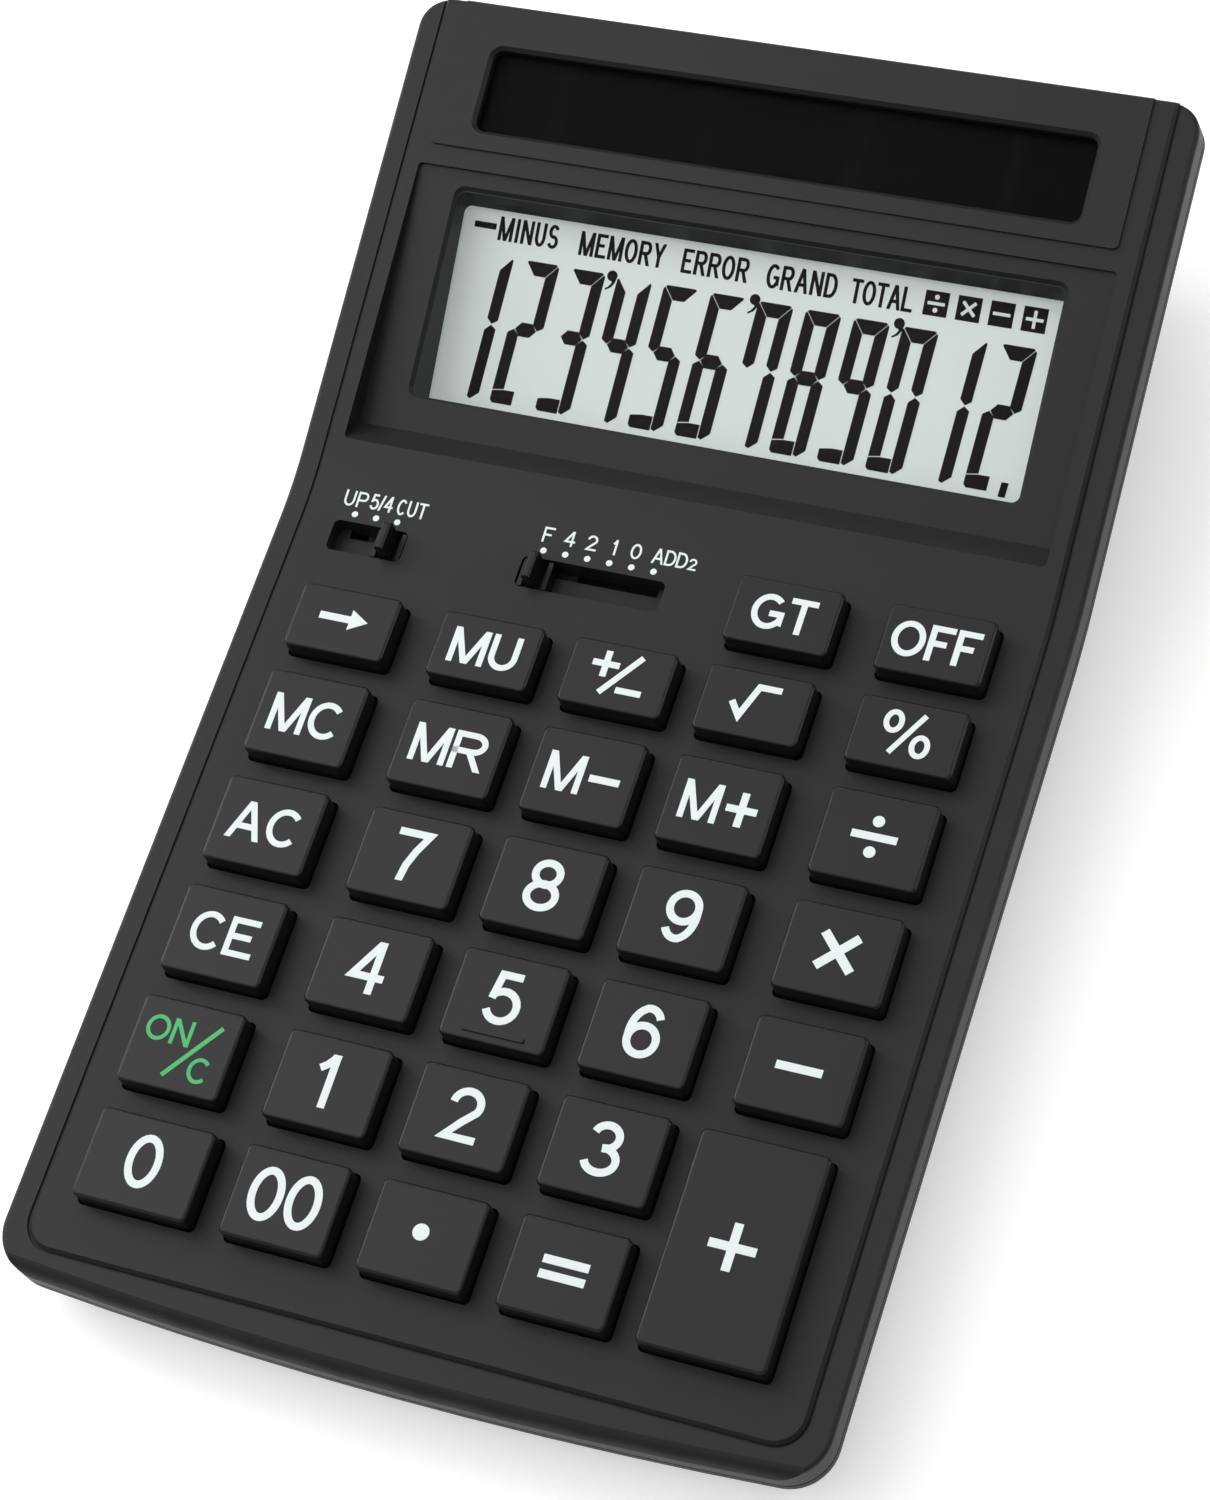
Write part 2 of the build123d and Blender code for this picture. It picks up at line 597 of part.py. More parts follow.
def upper_case_features():
    """What stands on the inside and outside of the top shell: panel, pad, housings and bosses."""
    panel = chamfer(border(panel_slab(0, 0, DECK_UNDERSIDE), Vector(0, 0, 1)), PANEL_BEVEL)
    pad_length = 2 * (HEAD_LENGTH - PAD_FRONT)
    pad = head_block(PAD_WIDTH, pad_length, HEAD_LENGTH, DECK_UNDERSIDE, PAD_RISE, PAD_CORNER)
    sink = RECESS_FLOOR / cos(radians(RECESS_TILT))
    housing = side_extrusion(recess_profile(RECESS_WALL, sink, RIM_TOP), RECESS_WIDTH / 2 + RECESS_WALL)
    frame_width = SOLAR_POCKET_WIDTH + 2 * SOLAR_WALL
    frame_length = SOLAR_POCKET_LENGTH + 2 * SOLAR_WALL
    bottom = CELL_PLATE_BOTTOM
    frame = head_block(frame_width, frame_length, SOLAR_MIDDLE, bottom, DECK_UNDERSIDE, SOLAR_CORNER)
    collar_length = WINDOW_RUN + 2 * WINDOW_SEAT
    collar = block(LENS_WIDTH, collar_length, -BASE_DEPTH, BASE_DEPTH, WINDOW_CORNER, y=WINDOW_Y)
    collar &= LENS_PLANE * block(REACH, REACH, 0, REACH)
    below_floor = FLOOR_PLANE * block(REACH, REACH, -REACH, -RECESS_FLOOR / 2)
    features = [panel & rounded_case(0), pad & rounded_case(PAD_RISE), housing, frame, collar & below_floor]
    for rest_x, travel in SWITCHES:
        middle, length = knob_slot(rest_x, travel)
        outer = (length + 2 * SLOT_WALL, SLOT_WIDTH + 2 * SLOT_WALL)
        trough = block(*outer, SLOT_UNDERSIDE, DECK_UNDERSIDE, SLOT_WALL, middle, SWITCH_Y)
        features.append(trough)
    for x, y in BOARD_SCREWS:
        features.append(pillar(BOSS_DIAMETER, BOARD_TOP, DECK_UNDERSIDE, x, y))
    for x, y in HOLDER_SCREWS:
        boss = LENS_PLANE * pillar(BOSS_DIAMETER, LCD_BOTTOM, BASE_DEPTH, x, y)
        features.append(boss & below_floor)
    for x, y, end in CASE_SCREWS:
        ceiling = DECK_UNDERSIDE if y < 0 else head_point(REAR_SCREW_V, DECK_UNDERSIDE)[1]
        features.append(pillar(CASE_BOSS_DIAMETER, end, ceiling, x, y))
    return features


def upper_case_cuts():
    """What is cut out of the top shell: recess, window, solar pocket, key holes, slots and pilots."""
    recess = side_extrusion(recess_profile(0, 0, 0), RECESS_WIDTH / 2)
    recess_middle = RECESS_FRONT + RECESS_LENGTH / 2
    recess &= head_block(RECESS_WIDTH, RECESS_LENGTH, recess_middle, -BASE_DEPTH, BASE_DEPTH, RECESS_CORNER)
    window = block(WINDOW_WIDTH, WINDOW_RUN, -BASE_DEPTH, BASE_DEPTH, WINDOW_CORNER, y=WINDOW_Y)
    window_mouth = bevelled_mouth(WINDOW_WIDTH, WINDOW_LENGTH, WINDOW_MIDDLE, WINDOW_EDGE, WINDOW_CORNER)
    solar_mouth = bevelled_mouth(SOLAR_WIDTH, SOLAR_LENGTH, SOLAR_MIDDLE, SOLAR_EDGE, SOLAR_CORNER)
    below = CELL_PLATE_BOTTOM - SOLAR_WALL
    pocket = head_block(SOLAR_POCKET_WIDTH, SOLAR_POCKET_LENGTH, SOLAR_MIDDLE, below, SOLAR_TOP, SOLAR_CORNER)
    opening = head_block(SOLAR_WIDTH, SOLAR_LENGTH, SOLAR_MIDDLE, SOLAR_TOP, 2 * PAD_RISE, SOLAR_CORNER)
    cuts = [recess, window, FLOOR_PLANE * window_mouth, pocket, opening]
    cuts.append(HEAD * (Pos(0, 0, PAD_RISE) * solar_mouth))
    for name, x, y, width, length in KEYS:
        hole_width = width + 2 * KEY_CLEARANCE
        hole_length = length + 2 * KEY_CLEARANCE
        cuts.append(block(hole_width, hole_length, FLANGE_BOTTOM, KEY_RISE, KEY_CORNER, x, y))
    for rest_x, travel in SWITCHES:
        middle, length = knob_slot(rest_x, travel)
        cuts.append(block(length, SLOT_WIDTH, -SLOT_DEPTH, SLOT_DEPTH, SLOT_CORNER, middle, SWITCH_Y))
        slit_length = abs(travel) + FIN_THICKNESS + 2 * STEM_CLEARANCE
        cuts.append(block(slit_length, SLIT_WIDTH, SLOT_UNDERSIDE, -SLOT_DEPTH, x=middle, y=SLIT_Y))
    for x, y in BOARD_SCREWS:
        cuts.append(pillar(CASE_HOLE, BOARD_TOP, BOARD_TOP + INNER_SCREW_GRIP, x, y))
    for x, y in HOLDER_SCREWS:
        cuts.append(LENS_PLANE * pillar(CASE_HOLE, LCD_BOTTOM, LCD_BOTTOM + INNER_SCREW_GRIP, x, y))
    for x, y, end in CASE_SCREWS:
        cuts.append(pillar(CASE_HOLE, end, end + CASE_SCREW_GRIP + FIT_GAP, x, y))
    return cuts


def make_upper_case():
    """Top shell: deck and head in one piece, with the recess, the key holes and the switch slots."""
    shell = rounded_case(RIM_TOP) - front_round()
    shell -= case_slab(SKIRT_WALL, DECK_UNDERSIDE, 2 * PARTING)
    shell -= panel_slab(GROOVE_WIDTH, PANEL_RISE, RIM_TOP - GROOVE_DEPTH)
    shell += upper_case_features()
    return shell - upper_case_cuts()


def hull(wall):
    """Wedge under the tray, moved inwards by wall: its sides lean in below deck and head alike."""
    front = -DECK_LENGTH + HULL_FRONT_INSET + wall
    front_foot = front + HULL_FRONT_LEAN
    rear = HEAD_LENGTH - HULL_REAR_INSET - wall
    top = DECK_UNDERSIDE if wall else TRAY_TOP - TRAY_THICKNESS / 2
    rear_top = head_point(rear, top)
    rear_foot = rear_top[0] - HULL_REAR_LEAN
    side = [
        (front, top), (front, TRAY_BOTTOM), (front_foot, base_level(front_foot) + wall),
        (rear_foot, base_level(rear_foot) + wall), rear_top, (-top * tan(TILT / 2), top),
    ]
    wedge = side_extrusion(side, HALF_WIDTH)
    half = HULL_HALF - wall
    tip = TRAY_BOTTOM - half / tan(radians(HULL_SLOPE))
    corners = [(half, REACH), (-half, REACH), (-half, TRAY_BOTTOM), (0, tip), (half, TRAY_BOTTOM)]
    section = make_face(Polyline(*corners, close=True))
    for frame in (Plane.XY, HEAD):
        across = Plane(origin=frame.origin, x_dir=frame.x_dir, z_dir=-frame.y_dir)
        wedge &= extrude(across * section, amount=REACH, both=True)
    return wedge


# Standing frame: level with the table, its origin below the bend until the part is centred
TURN = radians(DECK_TILT)
BEND_HEIGHT = FOOT_RISE + BASE_DEPTH * cos(TURN) - PANEL_FRONT * sin(TURN)
STAND = Location((0, 0, BEND_HEIGHT), (DECK_TILT, 0, 0))
LEVEL = STAND.inverse()


def level_point(y, z):
    """Deck-frame (y, z) of a point given in the standing frame."""
    rise = z - BEND_HEIGHT
    return (y * cos(TURN) + rise * sin(TURN), rise * cos(TURN) - y * sin(TURN))


BAY_SIZE = CELL_DIAMETER + 2 * CELL_GAP
DOOR_WIDTH = BAY_SIZE + 2 * DOOR_MARGIN
DOOR_LENGTH = BAY_SIZE + DOOR_MARGIN + DOOR_SCREW_LAND
DOOR_TOP = FOOT_RISE + DOOR_THICKNESS
LEDGE_TOP = DOOR_TOP + DOOR_LEDGE
CELL_BOTTOM = DOOR_TOP + CELL_GAP
CELL_TOP = CELL_BOTTOM + CELL_HEIGHT
BAY_TOP = CELL_TOP + CELL_GAP + CONTACT_SHEET
BAY_Y = CELL_FROM_BEND
BAY_FRONT = BAY_Y - BAY_SIZE / 2
DOOR_FRONT = BAY_FRONT - DOOR_MARGIN
DOOR_Y = DOOR_FRONT + DOOR_LENGTH / 2
DOOR_SCREW_Y = DOOR_FRONT + DOOR_LENGTH - DOOR_SCREW_LAND / 2
DOOR_SCREW_SEAT = DOOR_TOP - DOOR_SCREW_SKIN
TAB_X = DOOR_WIDTH / 4
TAB_BOTTOM = DOOR_TOP - DOOR_TAB_SHEET
TAIL_END = BAY_FRONT - CELL_BAY_WALL - WIRE_END
WIRE_LOW = level_point(TAIL_END - WIRE_RUN, WIRE_LEVEL)
POSITIVE_X = (CONTACT_SHEET - BAY_SIZE) / 2
POSITIVE_BOTTOM = (CELL_BOTTOM + CELL_TOP - CONTACT_WIDTH) / 2


def foot_places():
    """Places of the four feet in the standing frame."""
    front_foot = -DECK_LENGTH + HULL_FRONT_INSET + HULL_FRONT_LEAN + FOOT_INSET
    rear_top = head_point(HEAD_LENGTH - HULL_REAR_INSET, TRAY_BOTTOM)
    rear_foot = rear_top[0] - HULL_REAR_LEAN - FOOT_INSET
    places = []
    for y in (front_foot, rear_foot):
        for side in (-1, 1):
            stand_y = y * cos(TURN) - base_level(y) * sin(TURN)
            places.append((side * (hull_half(y) - FOOT_INSET), stand_y))
    return places


FEET = foot_places()


def lower_case_features():
    """What stands inside the bottom shell: screw posts, board rests and the battery bay."""
    features = []
    for x, y, end in CASE_SCREWS:
        foot = base_level(y) - HULL_WALL
        seat = end - CASE_SCREW_FLOOR
        post = pillar(CASE_BOSS_DIAMETER, foot, end, x, y)
        post += pillar(HEAD_HOLE + CASE_BOSS_WALL, foot, seat + BOSS_WALL / 2, x, y)
        features.append(post & (hull(0) + block(CASE_WIDTH, REACH, TRAY_BOTTOM, REACH)))
    rest_y = BOARD_FRONT + BOARD_REST
    for count in range(BOARD_RESTS):
        rest_x = (count - (BOARD_RESTS - 1) / 2) * BOARD_REST_SPACING
        floor = base_level(rest_y) + HULL_WALL / 2
        features.append(block(BOARD_REST, BOARD_REST, floor, BOARD_BOTTOM, x=rest_x, y=rest_y))
    outer = BAY_SIZE + 2 * CELL_BAY_WALL
    features.append(LEVEL * block(outer, outer, FOOT_RISE, BAY_TOP + CELL_BAY_WALL, y=BAY_Y))
    land_width = DOOR_WIDTH + 2 * DOOR_MARGIN
    land_length = DOOR_LENGTH + 2 * DOOR_MARGIN
    features.append(LEVEL * block(land_width, land_length, FOOT_RISE, LEDGE_TOP, y=DOOR_Y))
    boss_top = DOOR_SCREW_SEAT + DOOR_SCREW_SKIN + DOOR_SCREW_GRIP + DOOR_LEDGE
    features.append(LEVEL * pillar(CASE_BOSS_DIAMETER, FOOT_RISE, boss_top, y=DOOR_SCREW_Y))
    return features


def lower_case_cuts():
    """What is cut out of the bottom shell: screw holes, battery bay, door seat and foot seats."""
    cuts = []
    for x, y, end in CASE_SCREWS:
        cuts.append(pillar(CASE_HOLE, base_level(y), end, x, y))
        cuts.append(pillar(HEAD_HOLE, base_level(y) - HULL_WALL, end - CASE_SCREW_FLOOR, x, y))
    door_seat = block(DOOR_WIDTH + 2 * DOOR_GAP, DOOR_LENGTH + 2 * DOOR_GAP, 0, DOOR_TOP, y=DOOR_Y)
    cuts.append(LEVEL * door_seat)
    for side in (-1, 1):
        slot_width = DOOR_TAB_WIDTH + 2 * DOOR_GAP
        slot_length = 2 * (DOOR_TAB + DOOR_GAP)
        slot = block(slot_width, slot_length, TAB_BOTTOM - DOOR_GAP, DOOR_TOP, x=side * TAB_X, y=DOOR_FRONT)
        cuts.append(LEVEL * slot)
    cuts.append(LEVEL * block(BAY_SIZE, BAY_SIZE, FOOT_RISE, BAY_TOP, y=BAY_Y))
    slot_y = BAY_FRONT - BAY_SIZE / 2
    tail_width = CONTACT_WIDTH + 2 * FIT_GAP
    tail_bottom = BAY_TOP - CONTACT_SHEET - FIT_GAP
    cuts.append(LEVEL * block(tail_width, 2 * BAY_SIZE, tail_bottom, BAY_TOP, y=slot_y))
    side_x = POSITIVE_X + FIT_GAP / 2
    side_bottom = POSITIVE_BOTTOM - FIT_GAP
    side_top = POSITIVE_BOTTOM + CONTACT_WIDTH + FIT_GAP
    side_width = CONTACT_SHEET + FIT_GAP
    cuts.append(LEVEL * block(side_width, 2 * BAY_SIZE, side_bottom, side_top, x=side_x, y=slot_y))
    pilot_top = DOOR_TOP + DOOR_SCREW_GRIP + FIT_GAP
    cuts.append(LEVEL * pillar(CASE_HOLE, FOOT_RISE, pilot_top, y=DOOR_SCREW_Y))
    for x, y in FEET:
        cuts.append(LEVEL * pillar(FOOT_DIAMETER, 0, FOOT_RISE + FOOT_SEAT, x, y))
    return cuts


def make_lower_case():
    """Bottom shell: a tray that closes the top shell, and the hollow wedge that it stands on."""
    tray = case_slab(0, TRAY_TOP, TRAY_BOTTOM)
    tray = fillet(border(tray, Vector(0, 0, -1)), LOWER_EDGE_ROUND)
    tray += case_slab(PARTING_INSET, PARTING, TRAY_TOP - TRAY_THICKNESS / 2)
    tongue_inset = SKIRT_WALL + FIT_GAP
    tongue = case_slab(tongue_inset, PARTING + TONGUE_HEIGHT, TRAY_TOP)
    tray += tongue - case_slab(tongue_inset + TONGUE_WALL, 0, 2 * PARTING)
    tray += hull(0)
    tray -= hull(HULL_WALL)
    tray += lower_case_features()
    return tray - lower_case_cuts()


def make_battery_door():
    """Flat door of the battery bay, with two tabs in front and one screw behind."""
    door = block(DOOR_WIDTH, DOOR_LENGTH, FOOT_RISE, DOOR_TOP, y=DOOR_Y)
    for side in (-1, 1):
        tab_y = DOOR_FRONT - DOOR_TAB / 2
        door += block(DOOR_TAB_WIDTH, DOOR_TAB, TAB_BOTTOM, DOOR_TOP, x=side * TAB_X, y=tab_y)
    door += pillar(CELL_DIAMETER / 2, DOOR_TOP, CELL_BOTTOM, y=BAY_Y)
    door -= pillar(CASE_HOLE, FOOT_RISE, DOOR_TOP, y=DOOR_SCREW_Y)
    door -= pillar(HEAD_HOLE, 0, DOOR_SCREW_SEAT, y=DOOR_SCREW_Y)
    return LEVEL * door


def make_button_cell():
    """Button cell: can with a rounded edge and the smaller cap of the other pole on top."""
    step = CELL_HEIGHT / 10
    can = pillar(CELL_DIAMETER, CELL_BOTTOM, CELL_TOP - step, y=BAY_Y)
    can = fillet(can.edges().sort_by(Axis.Z)[0], step)
    cap = pillar(CELL_DIAMETER - 4 * step, CELL_TOP - 2 * step, CELL_TOP, y=BAY_Y)
    return LEVEL * (can + cap)


def contact_profile(start, press, back, face):
    """Outline of a sheet contact with a pressed-out bump, as (along, across) corners."""
    sheet = back + (CONTACT_SHEET if face > back else -CONTACT_SHEET)
    bump = CONTACT_WIDTH / 4
    return [
        (start, back), (press + BAY_SIZE / 3, back), (press + BAY_SIZE / 3, sheet), (press + 2 * bump, sheet),
        (press + bump, face), (press - bump, face), (press - 2 * bump, sheet), (start, sheet),
    ]


def make_negative_contact():
    """Sheet contact under the roof of the bay that presses on the cap of the cell."""
    corners = contact_profile(TAIL_END, BAY_Y, BAY_TOP, CELL_TOP)
    return LEVEL * side_extrusion(corners, CONTACT_WIDTH / 2)


def make_positive_contact():
    """Sheet contact on the side wall of the bay that presses on the can of the cell."""
    corners = contact_profile(TAIL_END, BAY_Y, -BAY_SIZE / 2, -CELL_DIAMETER / 2)
    outline = make_face(Polyline(*[(across, along) for along, across in corners], close=True))
    return LEVEL * Pos(0, 0, POSITIVE_BOTTOM) * extrude(outline, amount=CONTACT_WIDTH)


def wire(x, points):
    """Round wire in a plane of constant x, from points given as (y, z), with rounded bends."""
    path = FilletPolyline(*[(x, y, z) for y, z in points], radius=WIRE_BEND)
    section = Plane(origin=path @ 0, z_dir=path % 0) * Circle(WIRE_DIAMETER / 2)
    return sweep(section, path=path)


def make_battery_leads():
    """Two wires from the tails of the contacts to the underside of the board."""
    end = (BOARD_BACK - WIRE_END, BOARD_BOTTOM)
    dip = (BOARD_BACK - WIRE_END, BOARD_BOTTOM - WIRE_DIP)
    leads = []
    tails = [(0, BAY_TOP - CONTACT_SHEET / 2), (POSITIVE_X, POSITIVE_BOTTOM + CONTACT_WIDTH / 2)]
    for x, height in tails:
        leads.append(wire(x, [level_point(TAIL_END, height), WIRE_LOW, dip, end]))
    return leads


def make_solar_leads():
    """Two wires from the back of the solar cell to the underside of the board."""
    end = (BOARD_BACK - WIRE_END, BOARD_BOTTOM)
    dip = (BOARD_BACK - WIRE_END, BOARD_BOTTOM - WIRE_DIP)
    start = head_point(SOLAR_MIDDLE, CELL_PLATE_BOTTOM)
    drop = head_point(SOLAR_MIDDLE, CELL_PLATE_BOTTOM - WIRE_DROP)
    points = [start, drop, WIRE_LOW, dip, end]
    return [wire(WIRE_X + count * WIRE_SPACING, points) for count in range(2)]


def make_dome_mat():
    """Rubber mat on the board with one hollow dome below the post of each key."""
    half = BOARD_HALF - MAT_MARGIN
    front = BOARD_FRONT + MAT_MARGIN
    back = ROWS[1] + KEY_SHORT / 2 + MAT_MARGIN
    mat = block(2 * half, back - front, BOARD_TOP, MAT_TOP, y=(front + back) / 2)
    tab_left = DIGIT_PITCH - KEY_WIDTH / 2 - MAT_MARGIN
    tab_back = ROWS[0] + KEY_SHORT / 2 + MAT_MARGIN
    tab_y = (ROWS[1] + tab_back) / 2
    mat += block(half - tab_left, tab_back - ROWS[1], BOARD_TOP, MAT_TOP, x=(half + tab_left) / 2, y=tab_y)
    base = DOME_BASE / 2
    crown = POST_DIAMETER / 2
    outer = [(0, MAT_TOP), (base, MAT_TOP), (crown, POST_BOTTOM), (0, POST_BOTTOM)]
    inner = [(0, BOARD_TOP), (base - DOME_WALL, BOARD_TOP), (base - DOME_WALL, MAT_TOP)]
    inner += [(crown - DOME_WALL, POST_BOTTOM - DOME_WALL), (0, POST_BOTTOM - DOME_WALL)]
    dome = revolve(Plane.XZ * make_face(Polyline(*outer, close=True)), Axis.Z)
    hollow = revolve(Plane.XZ * make_face(Polyline(*inner, close=True)), Axis.Z)
    mat += [Pos(x, y) * dome for name, x, y, width, length in KEYS]
    mat -= [Pos(x, y) * hollow for name, x, y, width, length in KEYS]
    hole = BOSS_DIAMETER + 2 * FIT_GAP
    return mat - [pillar(hole, BOARD_TOP, MAT_TOP, x, y) for x, y in BOARD_SCREWS]


def make_main_board():
    """Circuit board below the keys, hung from four bosses of the top shell."""
    length = BOARD_BACK - BOARD_FRONT
    board = block(2 * BOARD_HALF, length, BOARD_BOTTOM, BOARD_TOP, BOARD_MARGIN, y=BOARD_FRONT + length / 2)
    return board - [pillar(CASE_HOLE, BOARD_BOTTOM, BOARD_TOP, x, y) for x, y in BOARD_SCREWS]


def make_controller_chip():
    """Domed resin cover of the chip that is bonded to the underside of the board."""
    chip = pillar(CHIP_DIAMETER, BOARD_BOTTOM - CHIP_HEIGHT, BOARD_BOTTOM, CHIP_X, CHIP_Y)
    return fillet(chip.edges().sort_by(Axis.Z)[0], CHIP_HEIGHT * 0.8)


def make_lcd_ribbon():
    """Flat film from the front edge of the display panel to the back edge of the board."""
    front = LENS_MIDDLE - LENS_LENGTH / 2 + LCD_INSET
    lap = LENS_PLANE.from_local_coords(Vector(0, front + RIBBON_LAP, LCD_BOTTOM))
    edge = LENS_PLANE.from_local_coords(Vector(0, front, LCD_BOTTOM))
    pad_back = BOARD_BACK + RIBBON_SHEET
    pad_front = pad_back - RIBBON_LAP
    sheet = RIBBON_SHEET
    pad_top = BOARD_TOP + sheet
    corners = [
        (pad_front, BOARD_TOP), (pad_back, BOARD_TOP), (edge.Y, edge.Z - sheet), (lap.Y, lap.Z - sheet),
        (lap.Y, lap.Z), (edge.Y, edge.Z), (pad_back - sheet, pad_top), (pad_front, pad_top),
    ]
    return side_extrusion(corners, RIBBON_WIDTH / 2)


def make_lcd_holder():
    """Frame behind the display panel, screwed to the bosses beside it."""
    middle = LENS_MIDDLE + HOLDER_MARGIN / 2
    back = LCD_BOTTOM - HOLDER_THICKNESS
    frame = block(HOLDER_WIDTH, HOLDER_LENGTH, back, LCD_BOTTOM, WINDOW_CORNER, y=middle)
    inner_width = LENS_WIDTH - 2 * HOLDER_FRAME
    frame -= block(inner_width, HOLDER_LENGTH - 2 * HOLDER_FRAME, back, LCD_BOTTOM, WINDOW_CORNER, y=middle)
    frame -= [pillar(CASE_HOLE, back, LCD_BOTTOM, x, y) for x, y in HOLDER_SCREWS]
    return LENS_PLANE * frame


def display_plate(inset, bottom, top):
    """Plate under the well of the display, square to the line of sight that the well gives."""
    width = LENS_WIDTH - 2 * inset
    length = LENS_LENGTH - 2 * inset
    return LENS_PLANE * block(width, length, bottom, top, WINDOW_CORNER, y=LENS_MIDDLE)


def solar_plate(bottom, top):
    """Plate in the pocket of the head, parallel to the head."""
    return head_block(SOLAR_PLATE_WIDTH, SOLAR_PLATE_LENGTH, SOLAR_MIDDLE, bottom, top, SOLAR_CORNER)


def make_inner_screws():
    """Screws of the board and of the display holder."""
    board_grip = BOARD_THICKNESS + INNER_SCREW_GRIP - FIT_GAP
    screws = [screw(x, y, BOARD_BOTTOM, board_grip) for x, y in BOARD_SCREWS]
    back = LCD_BOTTOM - HOLDER_THICKNESS
    for x, y in HOLDER_SCREWS:
        screws.append(LENS_PLANE * screw(x, y, back, HOLDER_THICKNESS + INNER_SCREW_GRIP - FIT_GAP))
    return screws


def make_case_screws():
    """Four long screws that hold the two shells together."""
    grip = CASE_SCREW_FLOOR + CASE_SCREW_GRIP
    return [screw(x, y, end - CASE_SCREW_FLOOR, grip) for x, y, end in CASE_SCREWS]


def make_rubber_feet():
    """Four round feet, pressed into shallow seats in the base."""
    feet = []
    for x, y in FEET:
        foot = pillar(FOOT_DIAMETER, 0, FOOT_RISE + FOOT_SEAT, x, y)
        feet.append(LEVEL * fillet(foot.edges().sort_by(Axis.Z)[0], FOOT_ROUND))
    return feet


def make_nodes():
    """Every piece of the calculator in the deck frame, by its node's name."""
    nodes = {
        "upper_case": make_upper_case(),
        "lower_case": make_lower_case(),
        "battery_door": make_battery_door(),
        "display_window": display_plate(0, LENS_BOTTOM, 0),
        "lcd_panel": display_plate(LCD_INSET, LCD_BOTTOM, LCD_TOP),
        "lcd_holder": make_lcd_holder(),
        "lcd_ribbon": make_lcd_ribbon(),
        "solar_window": solar_plate(CELL_PLATE_TOP, SOLAR_TOP),
        "solar_cell": solar_plate(CELL_PLATE_BOTTOM, CELL_PLATE_TOP),
        "solar_leads": make_solar_leads(),
        "main_board": make_main_board(),
        "controller_chip": make_controller_chip(),
        "dome_mat": make_dome_mat(),
        "rounding_slider": make_slider(ROUNDING_REST_X),
        "decimal_slider": make_slider(DECIMAL_REST_X),
        "rounding_wiper": make_wiper(ROUNDING_REST_X),
        "decimal_wiper": make_wiper(DECIMAL_REST_X),
        "button_cell": make_button_cell(),
        "positive_contact": make_positive_contact(),
        "negative_contact": make_negative_contact(),
        "battery_leads": make_battery_leads(),
        "case_screws": make_case_screws(),
        "inner_screws": make_inner_screws(),
        "door_screw": LEVEL * screw(0, DOOR_SCREW_Y, DOOR_SCREW_SEAT, DOOR_SCREW_SKIN + DOOR_SCREW_GRIP),
        "rubber_feet": make_rubber_feet(),
    }
    for name, x, y, width, length in KEYS:
        nodes["key_" + name] = make_key(name, x, y, width, length)
    return nodes


def main():
    """Set the part on the table, centre it over the origin and write one file for each node."""
    os.makedirs("parts", exist_ok=True)
    nodes = make_nodes()
    shells = [STAND * nodes[name] for name in ("upper_case", "lower_case")]
    back = max(shell.bounding_box().max.Y for shell in shells)
    front = min(shell.bounding_box().min.Y for shell in shells)
    place = Pos(0, -(back + front) / 2, 0) * STAND
    for name, piece in nodes.items():
        pieces = piece if isinstance(piece, list) else [piece]
        solids = [place * solid for item in pieces for solid in item.solids()]
        whole = solids[0] if len(solids) == 1 else Compound(children=solids)
        export_step(whole, os.path.join("parts", name + ".step"))
    print(len(nodes), "nodes, length", round(back - front, 2), "bend at", round(-(back + front) / 2, 3))


main()
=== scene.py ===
# %% [markdown]
# A twelve-digit desk calculator, dressed for a studio shot. The shells, keys, switches and inner pieces
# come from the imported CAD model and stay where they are. This lesson gives each of them a finish, prints
# the legends and the display on them, and sets the camera, the floor and the light.

# %% Load the frame
from math import cos, radians, sin, sqrt, tan

import bpy
from mathutils import Matrix, Vector


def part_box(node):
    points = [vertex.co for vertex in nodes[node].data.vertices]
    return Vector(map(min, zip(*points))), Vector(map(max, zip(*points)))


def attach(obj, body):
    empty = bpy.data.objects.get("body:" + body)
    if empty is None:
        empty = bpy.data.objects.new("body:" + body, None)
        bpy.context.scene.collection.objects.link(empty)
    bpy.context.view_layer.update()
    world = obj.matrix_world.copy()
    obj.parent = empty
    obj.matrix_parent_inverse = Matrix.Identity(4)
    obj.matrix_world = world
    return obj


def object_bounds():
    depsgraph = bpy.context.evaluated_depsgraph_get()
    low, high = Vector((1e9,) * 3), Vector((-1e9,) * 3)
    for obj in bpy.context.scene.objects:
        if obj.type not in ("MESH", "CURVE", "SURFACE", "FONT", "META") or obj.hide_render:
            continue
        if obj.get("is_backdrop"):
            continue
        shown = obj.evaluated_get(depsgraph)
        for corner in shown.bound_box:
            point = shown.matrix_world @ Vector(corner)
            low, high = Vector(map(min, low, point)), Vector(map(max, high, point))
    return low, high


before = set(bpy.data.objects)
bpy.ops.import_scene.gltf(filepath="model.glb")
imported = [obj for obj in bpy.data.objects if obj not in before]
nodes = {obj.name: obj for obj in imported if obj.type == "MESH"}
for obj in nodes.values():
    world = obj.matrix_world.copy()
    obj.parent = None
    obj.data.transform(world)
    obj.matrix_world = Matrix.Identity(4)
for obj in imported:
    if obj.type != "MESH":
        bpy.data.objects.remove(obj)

MM = 0.001
scene = bpy.context.scene
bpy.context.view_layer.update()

# %% [markdown]
# The calculator is a bent slab. Its keys stand on a deck that slopes two degrees, its head is turned up
# from the deck, and the display panel lies at the foot of a well in the head, turned up still more towards
# the user. Printing is drawn flat in millimetres and then carried onto the deck or onto the panel, so both
# planes are written once as a matrix whose local z is square to the surface.

# %% Planes of the deck and the display
DECK_TILT = radians(2.0)
BEND_PLACE = Vector((0.0, 22.017, 16.817))
WELL_FOOT = (15.483, -6.603)
PANEL_TILT = radians(24.344)
PANEL_FACE = -1.1


def placed(origin, tilt):
    return Matrix.Translation(origin) @ Matrix.Rotation(tilt, 4, "X")


